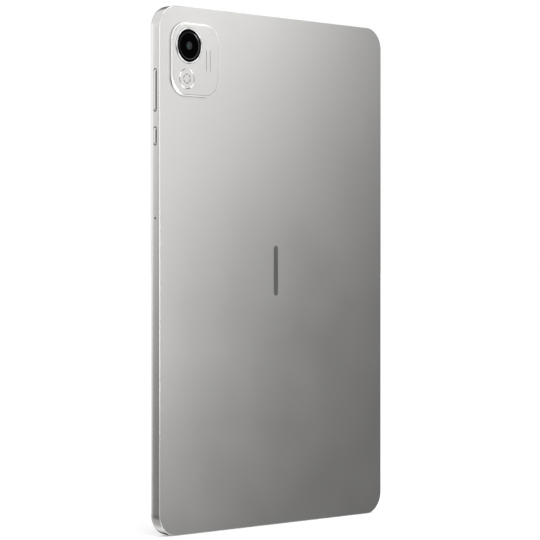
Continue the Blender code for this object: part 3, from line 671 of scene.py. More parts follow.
def arc_bar(radius: float, width: float, height: float, start: float, sweep: float) -> bmesh.types.BMesh:
    """A flat bar bent to an arc about the Y axis.

    Args:
        radius: Radius of the bar's middle.
        width: Width across the bar.
        height: How far the bar rises along +Y.
        start: Angle of its first end, from +X towards +Z, in radians.
        sweep: Angle that it covers.

    Returns:
        The new mesh.
    """
    bm = bmesh.new()
    corners = [(-0.5, 0.0), (0.5, 0.0), (0.5, 1.0), (-0.5, 1.0)]
    verts = [bm.verts.new((radius + across * width, rise * height, 0.0)) for across, rise in corners]
    face = bm.faces.new(verts)
    bmesh.ops.spin(
        bm, geom=[face], cent=(0, 0, 0), axis=(0, -1, 0), dvec=(0, 0, 0),
        angle=sweep, steps=max(3, round(math.degrees(sweep) / 5)), use_merge=False, use_duplicate=False,
    )
    bmesh.ops.rotate(bm, cent=(0, 0, 0), matrix=Matrix.Rotation(-start, 3, "Y"), verts=bm.verts[:])
    return bm


def merged(parts: Iterable[bmesh.types.BMesh]) -> bmesh.types.BMesh:
    """Put several meshes into one.

    Args:
        parts: The meshes, which are freed.

    Returns:
        The new mesh.
    """
    whole = bmesh.new()
    for part in parts:
        holder = bpy.data.meshes.new("holder")
        part.to_mesh(holder)
        part.free()
        whole.from_mesh(holder)
        bpy.data.meshes.remove(holder)
    return whole


def moved(bm: bmesh.types.BMesh, place: Vector) -> bmesh.types.BMesh:
    """Shift a mesh, and hand it back."""
    bmesh.ops.translate(bm, vec=place, verts=bm.verts[:])
    return bm


def to_object(name: str, bm: bmesh.types.BMesh, slots: int = 1) -> bpy.types.Object:
    """Turn a mesh into an object at the origin with outward faces.

    Args:
        name: The object's name.
        bm: The mesh, which is freed.
        slots: How many materials it takes at least.

    Returns:
        The new object.
    """
    bmesh.ops.recalc_face_normals(bm, faces=bm.faces[:])
    mesh = bpy.data.meshes.new(name)
    for _ in range(max(slots, 1 + max(face.material_index for face in bm.faces))):
        mesh.materials.append(None)
    bm.to_mesh(mesh)
    bm.free()
    made = bpy.data.objects.new(name, mesh)
    bpy.context.scene.collection.objects.link(made)
    return made


def skinned(bm: bmesh.types.BMesh, skin: int) -> bmesh.types.BMesh:
    """Give every face of a mesh one material index.

    Args:
        bm: The mesh.
        skin: The index.

    Returns:
        The same mesh.
    """
    for face in bm.faces:
        face.material_index = skin
    return bm


def carve(target: bpy.types.Object, cutter: bmesh.types.BMesh) -> None:
    """Cut a mesh out of an object for good.

    Args:
        target: The object to cut, with a slot for each of the cutter's materials.
        cutter: Closed volumes, which are freed.
    """
    tool = to_object(f"{target.name}_cutter", cutter)
    boolean = target.modifiers.new("cut", "BOOLEAN")
    boolean.operation = "DIFFERENCE"
    boolean.solver = "EXACT"
    boolean.object = tool
    graph = bpy.context.evaluated_depsgraph_get()
    result = bpy.data.meshes.new_from_object(target.evaluated_get(graph))
    target.modifiers.remove(boolean)
    target.data = result
    bpy.data.objects.remove(tool, do_unlink=True)


@dataclass
class Workshop:
    """Finishes pieces: materials, smooth shading, body and the nodes that each stands for."""

    cad: dict[str, bpy.types.Object]
    materials: dict[str, bpy.types.Material] = field(default_factory=dict)

    def material(self, finish: Finish) -> bpy.types.Material:
        """The material of a finish, which is made once.

        Args:
            finish: The finish.

        Returns:
            Its material.
        """
        if finish.name not in self.materials:
            self.materials[finish.name] = finish.build()
        return self.materials[finish.name]

    def piece(
        self, made: bpy.types.Object, finishes: Sequence[Finish | bpy.types.Material], slot: Slot,
        body: Body = Body.TABLET, stands_for: Sequence[str] = (), sharp: float = 30.0,
    ) -> bpy.types.Object:
        """Dress a piece and hang it on its body.

        Args:
            made: The object.
            finishes: Its finishes, in material index order.
            slot: The record's material slot; it is not used.
            body: The body that it moves with.
            stands_for: CAD nodes that it replaces.
            sharp: Angle in degrees above which an edge stays sharp.

        Returns:
            The same object.
        """
        made.data.transform(Matrix.Scale(MM, 4))
        for index, finish in enumerate(finishes):
            made.data.materials[index] = self.material(finish) if isinstance(finish, Finish) else finish
        made.data.shade_smooth()
        made.data.set_sharp_from_angle(angle=math.radians(sharp))
        weighted = made.modifiers.new("normals", "WEIGHTED_NORMAL")
        weighted.keep_sharp = True
        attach(made, body.value)
        if stands_for:
            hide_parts(*stands_for)
        LOG.info("piece %s: %d faces on %s", made.name, len(made.data.polygons), body.value)
        return made

    def dress(self, node: str, finish: Finish) -> None:
        """Give a CAD node that stays a finish.

        Args:
            node: The node's name.
            finish: Its finish.
        """
        mesh = self.cad[node].data
        mesh.materials.clear()
        mesh.materials.append(self.material(finish))
        LOG.info("node %s: %s", node, finish.name)


# ---------------------------------------------------------------- sub-assemblies


@dataclass
class RearShell:
    """The metal tray: rear wall, side walls, diamond-cut back edge and all openings."""

    shop: Workshop
    corner: float = 11.5
    chamfer: float = 0.33
    round_over: float = 0.08
    # The last four bands of the side's front curve take painted shade, a near-black finish that draws the
    # dark line along the silhouette.
    side_curve: tuple[tuple[float, float, ShellSkin], ...] = (
        (0.004, 0.9, ShellSkin.SIDE), (0.008, 0.8, ShellSkin.SIDE), (0.015, 0.7, ShellSkin.SIDE),
        (0.025, 0.6, ShellSkin.SIDE), (0.035, 0.45, ShellSkin.SIDE), (0.045, 0.35, ShellSkin.SIDE),
        (0.060, 0.28, ShellSkin.SIDE), (0.060, 0.16, ShellSkin.DARK), (0.050, 0.09, ShellSkin.DARK),
        (0.060, 0.07, ShellSkin.DARK), (0.100, 0.10, ShellSkin.DARK),
    )
    rim_drop: float = 0.2
    rim_width: float = 0.838
    rear_wall: float = 0.8
    cut_reach: float = 5.0
    key_slot: float = 2.5
    key_end_gap: float = 0.5
    port_depth: float = 3.7
    port_gap: float = 0.15
    speaker_slots: int = 6
    speaker_pitch: float = 4.4
    slot_size: tuple[float, float] = (3.2, 1.3)
    hole: float = 0.5
    island_gap: float = 0.02
    island_corner: float = 10.02
    pocket_reach: float = 4.0
    pocket_floor: float = 0.05

    def build(self) -> None:
        """Shape the tray, cut its openings and dress it."""
        low, high = box("rear_cover")
        glass_low, _ = box("display_cover_glass")
        middle = (low + high) / 2
        front = glass_low.y
        flat_front = front + self.rim_drop + sum(rise for _, rise, _ in self.side_curve)
        block_back = high.y - self.chamfer
        size = Vector((high.x - low.x, block_back - flat_front, high.z - low.z))
        bm = skinned(rounded_block(size, self.corner, Axis.Y, 32), ShellSkin.SIDE)
        moved(bm, Vector((middle.x, (flat_front + block_back) / 2, middle.z)))
        small = self.round_over
        cut = self.chamfer - small * 1.3
        inset_steps(bm, OUT_OF_BACK, (
            # The first band at the back edge takes painted shade, a thin near-black line before the diamond
            # cut.
            (small * 0.3, small, ShellSkin.DARK),
            (cut, cut, ShellSkin.CUT),
            (small, small * 0.3, ShellSkin.CUT),
        ))
        end_face(bm, OUT_OF_BACK).material_index = ShellSkin.BACK
        inset_steps(bm, OUT_OF_FRONT, (*self.side_curve, (self.rim_width, 0.0, ShellSkin.SIDE)))
        sink(bm, OUT_OF_FRONT, high.y - self.rear_wall - (front + self.rim_drop))
        tray = to_object("shell_tray", bm, len(ShellSkin))
        cutters = (
            *self.key_slots(high.x), *self.lower_holes(low.z, high.x, front + self.port_depth),
            *self.speaker_rows(low.z, high.z, front + self.port_depth), self.island_pocket(),
        )
        carve(tray, merged(cutters))
        finishes = (BLASTED, SIDE_SATIN, DIAMOND_CUT, PAINTED_SHADE_METAL)
        self.shop.piece(tray, finishes, Slot.SHELL, stands_for=("rear_cover",))

    def key_slots(self, side: float) -> Iterable[bmesh.types.BMesh]:
        """Cutters of the two slots that the keys stand in.

        Args:
            side: X of the side wall's outer face.

        Yields:
            One mesh for each slot.
        """
        for key in ("volume_rocker", "power_button"):
            key_low, key_high = box(key)
            centre = (key_low + key_high) / 2
            length = key_high.z - key_low.z - 2 * KEY_FLANGE + 2 * self.key_end_gap
            size = Vector((self.cut_reach, self.key_slot, length))
            slot = rounded_block(size, self.key_slot * FULL_ROUND, Axis.X, 14)
            # The slot walls take painted shade, near-black where the recess is only in shadow.
            yield moved(skinned(slot, ShellSkin.DARK), Vector((side, centre.y, centre.z)))

    def lower_holes(self, bottom: float, side: float, depth: float) -> Iterable[bmesh.types.BMesh]:
        """Cutters of the microphone holes and of the charging socket's mouth.

        Args:
            bottom: Z of the bottom edge.
            side: X of the side wall's outer face.
            depth: Y of the row of holes.

        Yields:
            One mesh for each hole.
        """
        side_place = Vector((side, depth, centre_of("side_microphone").z))
        bottom_place = Vector((centre_of("bottom_microphone").x, depth, bottom))
        for axis, place in ((Axis.X, side_place), (Axis.Z, bottom_place)):
            size = Vector((2 * self.hole,) * 3)
            size[axis] = self.cut_reach
            # The microphone holes' walls take painted shade, near-black where the recess is only in shadow.
            yield moved(skinned(rounded_block(size, self.hole * 0.999, axis, 8), ShellSkin.DARK), place)
        port_low, port_high = box("usb_c_shell")
        port = port_high - port_low + Vector((2 * self.port_gap, 2 * self.port_gap, 0))
        mouth = rounded_block(Vector((port.x, port.y, self.cut_reach)), port.y * FULL_ROUND, Axis.Z, 16)
        yield moved(skinned(mouth, ShellSkin.SIDE), Vector((0, depth, bottom)))

    def speaker_rows(self, bottom: float, top: float, depth: float) -> Iterable[bmesh.types.BMesh]:
        """Cutters of the slots in front of the four speakers.

        Args:
            bottom: Z of the bottom edge.
            top: Z of the top edge.
            depth: Y of the rows.

        Yields:
            One mesh for each slot.
        """
        for speaker in SPEAKERS:
            height = top if speaker.startswith("top") else bottom
            strip_low, strip_high = box(f"speaker_mesh_{speaker}")
            for offset in spaced(self.speaker_slots, self.speaker_pitch):
                across = (strip_low.x + strip_high.x) / 2 + offset
                size = Vector((*self.slot_size, self.cut_reach))
                slot = rounded_block(size, self.slot_size[1] * FULL_ROUND, Axis.Z, 8)
                yield moved(skinned(slot, ShellSkin.SIDE), Vector((across, depth, height)))

    def island_pocket(self) -> bmesh.types.BMesh:
        """Cutter of the pocket that the raised plate lies in.

        Returns:
            The mesh.
        """
        low, high = box("camera_plate")
        centre = (low + high) / 2
        gaps = Vector((2 * self.island_gap, 0, 2 * self.island_gap))
        size = high - low + gaps
        size.y = self.pocket_reach
        pocket = skinned(rounded_block(size, self.island_corner, Axis.Y, 28), ShellSkin.SIDE)
        depth = low.y - self.pocket_floor + self.pocket_reach / 2
        return moved(pocket, Vector((centre.x, depth, centre.z)))


@dataclass
class CameraIsland:
    """The raised plate with its polished edge, the dashed rings and two hairlines."""

    shop: Workshop
    corner: float = 10.0
    edge_width: float = 1.15
    edge_drop: float = 0.30
    bore_gap: float = 0.1
    mark_rise: float = 0.03
    bevel_curve: tuple[tuple[float, float, IslandSkin], ...] = (
        (0.03, 0.10, IslandSkin.WALL), (0.07, 0.12, IslandSkin.WALL), (0.72, 0.62, IslandSkin.BEVEL),
        (0.12, 0.13, IslandSkin.WALL), (0.06, 0.03, IslandSkin.WALL),
    )
    bore_reach: float = 5.0
    ring_offset: Vector = field(default_factory=lambda: Vector((1.4, 0, -16.8)))
    outer_ring: float = 5.05
    outer_width: float = 0.42
    dark_dashes: tuple[float, ...] = (350.0, 61.0, 178.0, 263.0)
    dark_sweep: float = 35.0
    bright_dashes: tuple[float, ...] = (24.0, 129.0, 225.0, 304.0)
    bright_sweep: float = 31.0
    inner_ring: float = 2.3
    inner_width: float = 0.5
    inner_dashes: int = 6
    inner_sweep: float = 44.0
    line_offsets: tuple[float, float] = (-12.3, -14.95)
    line_drop: float = 6.8
    line_length: float = 10.7
    line_width: float = 0.5
    line_round: float = 0.24

    def build(self) -> None:
        """Shape the plate and lay its marks on it."""
        low, high = box("camera_plate")
        middle = (low + high) / 2
        size = high - low
        drop = self.edge_drop
        bm = rounded_block(Vector((size.x, size.y - drop, size.z)), self.corner, Axis.Y, 28)
        moved(skinned(bm, IslandSkin.WALL), Vector((middle.x, middle.y - drop / 2, middle.z)))
        inset_steps(bm, OUT_OF_BACK, (
            (self.edge_width * inset, drop * rise, skin) for inset, rise, skin in self.bevel_curve
        ))
        end_face(bm, OUT_OF_BACK).material_index = IslandSkin.TOP
        plate = to_object("camera_island", bm, len(IslandSkin))
        ring_low, ring_high = box("camera_lens_ring")
        lens = (ring_low + ring_high) / 2
        bore = (ring_high.x - ring_low.x) / 2 + self.bore_gap
        reach = self.bore_reach
        hole = turned(((0, -reach), (bore, -reach), (bore, reach), (0, reach)), 96)
        carve(plate, moved(skinned(hole, IslandSkin.WALL), Vector((lens.x, middle.y, lens.z))))
        finishes = (BLASTED, ISLAND_EDGE, SIDE_SATIN)
        self.shop.piece(plate, finishes, Slot.SHELL, stands_for=("camera_plate",))
        self.marks(Vector((lens.x, high.y - HAIR, lens.z)))

    def marks(self, lens: Vector) -> None:
        """Lay the dashed rings and the hairlines on the plate.

        Args:
            lens: Where the lens axis meets the plate's face.
        """
        centre = lens + self.ring_offset
        for name, finish, middles, sweep in (
            ("island_ring_dark", MARK_DARK, self.dark_dashes, self.dark_sweep),
            ("island_ring_bright", MARK_BRIGHT, self.bright_dashes, self.bright_sweep),
        ):
            starts = [math.radians(middle - sweep / 2) for middle in middles]
            self.ring(name, finish, centre, self.outer_ring, self.outer_width, starts, sweep)
        starts = [index * 2 * math.pi / self.inner_dashes for index in range(self.inner_dashes)]
        self.ring(
            "island_ring_inner", MARK_DARK, centre, self.inner_ring, self.inner_width, starts,
            self.inner_sweep,
        )
        lines = []
        for offset in self.line_offsets:
            size = Vector((self.line_width, self.mark_rise, self.line_length))
            place = lens + Vector((offset, self.mark_rise / 2, -self.line_drop))
            lines.append(moved(rounded_block(size, self.line_round, Axis.Y, 6), place))
        self.shop.piece(to_object("island_hairlines", merged(lines)), (MARK_GREY,), Slot.RING)

    def ring(
        self, name: str, finish: Finish, centre: Vector, radius: float, width: float,
        starts: Sequence[float], sweep: float,
    ) -> None:
        """Lay one dashed ring on the plate.

        Args:
            name: The piece's name.
            finish: Its finish.
            centre: Its centre on the plate's face.
            radius: Radius of the dashes' middle.
            width: Width of a dash.
            starts: Angle at which each dash starts, in radians.
            sweep: Angle that a dash covers, in degrees.
        """
        arcs = [arc_bar(radius, width, self.mark_rise, start, math.radians(sweep)) for start in starts]
        self.shop.piece(to_object(name, moved(merged(arcs), centre)), (finish,), Slot.RING)


@dataclass
class RearLens:
    """The lens ring, the black front glass with its inner bevel and the small lens behind it."""

    shop: Workshop
    ring_width: float = 0.9
    edge: float = 0.22
    glass_radius: float = 8.17
    glass_edge: float = 0.06
    bevel_outer: float = 7.05
    bevel_inner: float = 6.6
    bevel_top: float = 0.07
    well: float = 0.22
    cell_radius: float = 2.05
    cell_lip: float = 0.1
    lens_radius: float = 0.95
    lens_rise: float = 0.32
    turns: int = 128

    def build(self) -> None:
        """Make every piece about the lens axis."""
        low, high = box("camera_lens_ring")
        lens = centre_of("camera_lens_ring")
        place = Vector((lens.x, 0, lens.z))
        self.trim_ring(low.y, high.y, (high.x - low.x) / 2, place)
        window_low, window_high = box("camera_window")
        self.front_glass(window_low.y, window_high.y, place)
        self.lens(window_high.y - 2 * self.well + HAIR / 2, place)

    def trim_ring(self, bottom: float, top: float, outer: float, place: Vector) -> None:
        """Turn the metal ring: satin on top, polished on its rounded edges.

        Args:
            bottom: Y of its foot.
            top: Y of its top.
            outer: Its outer radius.
            place: The lens axis.
        """
        edge = self.edge
        bore = outer - self.ring_width
        ring = turned((
            (outer, bottom), (outer, top - edge * 1.5), (outer - edge * 0.12, top - edge * 1.1),
            (outer - edge, top - edge * 0.15), (outer - edge * 1.4, top), (bore + edge * 1.6, top),
            (bore + edge * 1.2, top - edge * 0.12), (bore, top - edge * 1.3), (bore, bottom),
        ), self.turns)
        for face in ring.faces:
            flat = abs(face.calc_center_median().y - top) < 2 * HAIR
            face.material_index = 0 if flat else 1
        made = to_object("lens_trim_ring", moved(ring, place))
        finishes = (RING_SATIN, RING_METAL)
        self.shop.piece(made, finishes, Slot.RING, stands_for=("camera_lens_ring",), sharp=25)

    def front_glass(self, bottom: float, top: float, place: Vector) -> None:
        """Turn the black glass with its well, and the bevel inside the well's rim.

        Args:
            bottom: Y of the glass's inner face.
            top: Y of its outer face.
            place: The lens axis.
        """
        radius, rim, cell, well = self.glass_radius, self.bevel_outer, self.cell_radius, self.well
        glass = turned((
            (0, bottom), (radius, bottom), (radius, top - self.glass_edge), (radius - self.glass_edge, top),
            (rim, top), (rim, top - well), (cell, top - well), (cell, top - 2 * well), (0, top - 2 * well),
        ), self.turns)
        made = to_object("lens_front_glass", moved(glass, place))
        self.shop.piece(made, (LENS_BLACK,), Slot.LENS, stands_for=("camera_window",))
        seat = top - well + HAIR / 2
        bevel = turned((
            (rim - HAIR, seat), (rim - HAIR, top - HAIR), (rim - HAIR - self.bevel_top, top - HAIR),
            (self.bevel_inner, seat),
        ), self.turns)
        self.shop.piece(to_object("lens_inner_bevel", moved(bevel, place)), (LENS_BEVEL,), Slot.RING)

    def lens(self, floor: float, place: Vector) -> None:
        """Turn the dark cell and the small lens in it.

        Args:
            floor: Y of what they stand on.
            place: The lens axis.
        """
        inner, outer = self.lens_radius + 2 * HAIR, self.cell_radius - 2 * HAIR
        cell = turned((
            (inner, floor), (outer, floor), (outer, floor + self.well), (inner, floor + self.cell_lip),
        ), 64)
        self.shop.piece(to_object("lens_cell", moved(cell, place)), (LENS_CELL,), Slot.PLASTIC)
        crown = turned(dome(self.lens_radius, self.lens_rise, floor, 8), 64)
        self.shop.piece(to_object("lens_element", moved(crown, place)), (LENS_COATED,), Slot.LENS, sharp=60)


@dataclass
class SideKeys:
    """The volume rocker and the power button, each a crowned pill on its own body."""

    shop: Workshop
    roundness: float = 0.495
    crown: float = 0.32
    bands: int = 8
    reach: float = 0.95

    def build(self) -> None:
        """Shape both keys."""
        self.key("volume_key", "volume_rocker", Body.VOLUME)
        self.key("power_key", "power_button", Body.POWER)

    def key(self, name: str, node: str, body: Body) -> None:
        """Shape one key: a straight pill under a crown that is an arc across its width.

        Args:
            name: The piece's name.
            node: The CAD node that it stands for.
            body: Its body.
        """
        low, high = box(node)
        middle = (low + high) / 2
        width = high.y - low.y - 2 * KEY_FLANGE
        length = high.z - low.z - 2 * KEY_FLANGE
        crown = self.crown
        size = Vector((high.x - crown - low.x, width, length))
        bm = rounded_block(size, width * self.roundness, Axis.X, 16)
        moved(bm, Vector(((low.x + high.x - crown) / 2, middle.y, middle.z)))
        half = width / 2
        radius = (half ** 2 + crown ** 2) / (2 * crown)
        straight = length / 2 - half
        arc_centre = high.x - crown - math.sqrt(radius ** 2 - half ** 2)
        before = 1.0
        for step in range(1, self.bands + 1):
            share = 1 - self.reach * step / self.bands
            height = arc_centre + math.sqrt(radius ** 2 - (half * share) ** 2)
            for vert in pulled_out(bm, OUT_OF_SIDE):
                spine = min(max(vert.co.z, middle.z - straight), middle.z + straight)
                across = (vert.co.y - middle.y) * share / before
                vert.co = Vector((height, middle.y + across, spine + (vert.co.z - spine) * share / before))
            before = share
        self.shop.piece(to_object(name, bm), (KEY_SATIN,), Slot.KEY, body, (node,), sharp=40)


@dataclass
class DisplayFace:
    """Cover glass with a rounded edge, the gasket around it and the small camera beside the panel."""

    shop: Workshop
    corner: float = 10.08
    edge: float = 0.28
    edge_curve: tuple[tuple[float, float], ...] = (
        (0.06, 0.28), (0.18, 0.30), (0.32, 0.24), (0.50, 0.13), (0.70, 0.05),
    )
    gasket_corner: float = 10.19
    gasket_margin: float = 1.3
    gasket_drop: float = 0.22
    gasket_depth: float = 0.6
    cut_reach: float = 4.0
    eye_hole: float = 1.7
    eye_radius: float = 1.15
    eye_depth: float = 0.22
    eye_rise: float = 0.16
    eye_gap: float = 0.04
    rim_top: float = 0.1
    rim_lip: float = 0.06

    def build(self) -> None:
        """Shape the glass, the gasket and the small camera."""
        low, high = box("display_cover_glass")
        eye = centre_of("front_camera_lens")
        place = Vector((eye.x, 0, eye.z))
        self.cover_glass(low, high, place)
        self.gasket(low, high)
        self.front_camera(low.y, place)

    def cover_glass(self, low: Vector, high: Vector, place: Vector) -> None:
        """Shape the glass, with a well for the small camera.

        Args:
            low: The glass's lowest corner.
            high: Its highest corner.
            place: The small camera's axis.
        """
        middle = (low + high) / 2
        size = high - low
        edge = self.edge
        bm = rounded_block(Vector((size.x, size.y - edge, size.z)), self.corner, Axis.Y, 32)
        moved(bm, Vector((middle.x, middle.y + edge / 2, middle.z)))
        inset_steps(bm, OUT_OF_FRONT, ((edge * inset, edge * rise, 0) for inset, rise in self.edge_curve))
        made = to_object("display_glass", bm)
        near, deep = low.y - 1, low.y + self.eye_depth
        well = turned(((0, near), (self.eye_hole, near), (self.eye_hole, deep), (0, deep)), 64)
        carve(made, moved(well, place))
        glass = DisplayGlass().build(middle.z * MM)
        self.shop.piece(made, (glass,), Slot.COVER_GLASS, stands_for=("display_cover_glass",), sharp=40)

    def gasket(self, low: Vector, high: Vector) -> None:
        """Fill the thin gap between the glass and the tray.

        Args:
            low: The glass's lowest corner.
            high: Its highest corner.
        """
        shell_low, shell_high = box("rear_cover")
        margin = self.gasket_margin
        outer = Vector((shell_high.x - margin, 0, (shell_high.z - shell_low.z) / 2 - margin)) * 2
        size = Vector((outer.x - HAIR, self.gasket_depth, outer.z - HAIR))
        front = low.y + self.gasket_drop
        middle_z = ((low + high) / 2).z
        block = rounded_block(size, self.gasket_corner, Axis.Y, 32)
        ring = to_object("rim_gasket", moved(block, Vector((0, front + self.gasket_depth / 2, middle_z))))
        glass = high - low
        hole_size = Vector((glass.x + HAIR, self.cut_reach, glass.z + HAIR))
        hole = rounded_block(hole_size, self.corner, Axis.Y, 32)
        carve(ring, moved(hole, Vector((0, front, middle_z))))
        self.shop.piece(ring, (GASKET,), Slot.PLASTIC)

    def front_camera(self, face: float, place: Vector) -> None:
        """Turn the small camera's dark rim and its lens.

        Args:
            face: Y of the glass's outer face.
            place: The camera's axis.
        """
        floor = face + self.eye_depth
        inner, outer = self.eye_radius + self.eye_gap, self.eye_hole - 2 * HAIR
        rim = turned((
            (inner, floor), (outer, floor), (outer, face + 2 * HAIR), (outer - self.rim_top, face + HAIR),
            (inner, floor - self.rim_lip),
        ), 64)
        self.shop.piece(to_object("front_camera_rim", moved(rim, place)), (LENS_CELL,), Slot.PLASTIC)
        eye = turned(dome(self.eye_radius, -self.eye_rise, floor, 6), 48)
        made = to_object("front_camera_eye", moved(eye, place))
        self.shop.piece(made, (LENS_COATED,), Slot.LENS, sharp=60)


@dataclass
class EdgePorts:
    """The charging socket with its tongue and contacts, and the speaker meshes."""

    shop: Workshop
    wall: float = 0.28
    bore_reach: float = 4.0
    tongue_width: float = 6.65
    tongue_thickness: float = 0.7
    tongue_corner: float = 0.2
    tongue_overlap: float = 0.3
    base_length: float = 1.5
    contacts: int = 12
    contact_pitch: float = 0.5
    contact_size: tuple[float, float, float] = (0.28, 0.03, 3.2)
    contact_offset: float = 0.36
    contact_inset: float = 2.1

    def build(self) -> None:
        """Shape the socket's pieces and dress the meshes."""
        low, high = box("usb_c_shell")
        middle = (low + high) / 2
        size = high - low
        bm = rounded_block(size, size.y * FULL_ROUND, Axis.Z, 20)
        made = to_object("socket_shell", moved(bm, middle))
        bore = Vector((size.x - 2 * self.wall, size.y - 2 * self.wall, size.z + self.bore_reach))
        carve(made, moved(rounded_block(bore, bore.y * FULL_ROUND, Axis.Z, 20), middle))
        self.shop.piece(made, (STEEL,), Slot.STEEL, stands_for=("usb_c_shell",))
        self.tongue()
        for speaker in SPEAKERS:
            self.shop.dress(f"speaker_mesh_{speaker}", SPEAKER_MESH)

    def tongue(self) -> None:
        """Shape the tongue on its base, with a row of contacts on each face."""
        low, high = box("usb_c_tongue")
        depth = (low.y + high.y) / 2
        base = high.z - self.base_length
        top = base + self.tongue_overlap
        slim = Vector((self.tongue_width, self.tongue_thickness, top - low.z))
        blade = rounded_block(slim, self.tongue_corner, Axis.Y, 4)
        moved(blade, Vector((0, depth, (low.z + top) / 2)))
        back = Vector((high.x - low.x, high.y - low.y, self.base_length))
        block = rounded_block(back, back.y * FULL_ROUND, Axis.Z, 16)
        moved(block, Vector((0, depth, base + self.base_length / 2)))
        made = to_object("socket_tongue", merged((blade, block)))
        self.shop.piece(made, (PLASTIC,), Slot.PLASTIC, stands_for=("usb_c_tongue",))
        pads = []
        for side in (-1, 1):
            for across in spaced(self.contacts, self.contact_pitch):
                pad = bmesh.new()
                bmesh.ops.create_cube(pad, size=1.0)
                bmesh.ops.scale(pad, vec=self.contact_size, verts=pad.verts[:])
                place = (across, depth + side * self.contact_offset, low.z + self.contact_inset)
                pads.append(moved(pad, Vector(place)))
        self.shop.piece(to_object("socket_contacts", merged(pads)), (GOLD,), Slot.STEEL)


@dataclass
class BackMark:
    """A plain slim bar in the middle of the back."""

    shop: Workshop
    length: float = 26.4
    width: float = 3.2
    rise: float = 0.02

    def build(self) -> None:
        """Lay the bar on the back."""
        size = Vector((self.width, self.rise * 2, self.length))
        bar = rounded_block(size, self.width * FULL_ROUND, Axis.Y, 16)
        place = Vector((0, box("rear_cover")[1].y, centre_of("rear_cover").z))
        self.shop.piece(to_object("back_mark", moved(bar, place)), (MARK_GREY,), Slot.RING)


@dataclass
class InnerParts:
    """The CAD nodes that stay: everything inside gets its own finish."""

    shop: Workshop

    def build(self) -> None:
        """Dress every inner node."""
        groups: tuple[tuple[Finish, tuple[str, ...]], ...] = (
            (PLASTIC, ("camera_baffle", "rear_camera_barrel", "front_camera_housing", "top_antenna",
                       "side_antenna", *(f"speaker_{place}" for place in SPEAKERS))),
            (STEEL, ("rear_camera_housing", "key_dome_power", "key_dome_volume_down", "key_dome_volume_up",
                     "side_key_bracket", *(f"frame_screw_{number}" for number in range(1, 7)))),
            (LENS_COATED, ("rear_camera_lens", "front_camera_lens")),
            (CAST_FRAME, ("mid_frame",)),
            (POLARISER, ("display_panel",)),
            (DIFFUSER, ("display_backlight",)),
            (FOAM, ("display_adhesive",)),
            (FLEX, ("rear_camera_flex", "front_camera_flex", "display_flex", "board_flex", "side_key_flex")),
            (PACKAGE, ("light_sensor", "processor_chip", "memory_chip", "power_chip", "side_microphone",
                       "bottom_microphone")),
            (POUCH, ("battery_cell_left", "battery_cell_right")),
            (BOARD, ("battery_protection_board", "main_board", "usb_board")),
            (SHIELD_TIN, ("processor_shield", "power_shield", "wireless_shield")),
            (GRAPHITE, ("thermal_sheet",)),
        )
        for finish, nodes in groups:
            for node in nodes:
                self.shop.dress(node, finish)


# ---------------------------------------------------------------- stage


@dataclass(frozen=True)
class SoftBox:
    """One rectangular studio light, in metres and watts."""

    name: str
    place: Vector
    power: float
    size: tuple[float, float] = (0.14, 0.16)
    target: Vector = field(default_factory=lambda: Vector((0.02, 0.0, 0.16)))

    def build(self) -> None:
        """Hang the light."""
        data = bpy.data.lights.new(self.name, "AREA")
        data.shape = "RECTANGLE"
        data.size, data.size_y = self.size
        data.energy = self.power
        lamp = bpy.data.objects.new(self.name, data)
        lamp.location = self.place
        lamp.rotation_mode = "QUATERNION"
        lamp.rotation_quaternion = (self.target - self.place).to_track_quat("-Z", "Y")
        bpy.context.scene.collection.objects.link(lamp)


@dataclass(frozen=True)
class Patch:
    """A round stretch of the studio, darker or brighter than the rest, seen in the metal.

    Its gain is whole within the inner angle, in degrees, and has no effect beyond the outer one.
    """

    towards: Vector
    inner: float
    outer: float
    gain: float


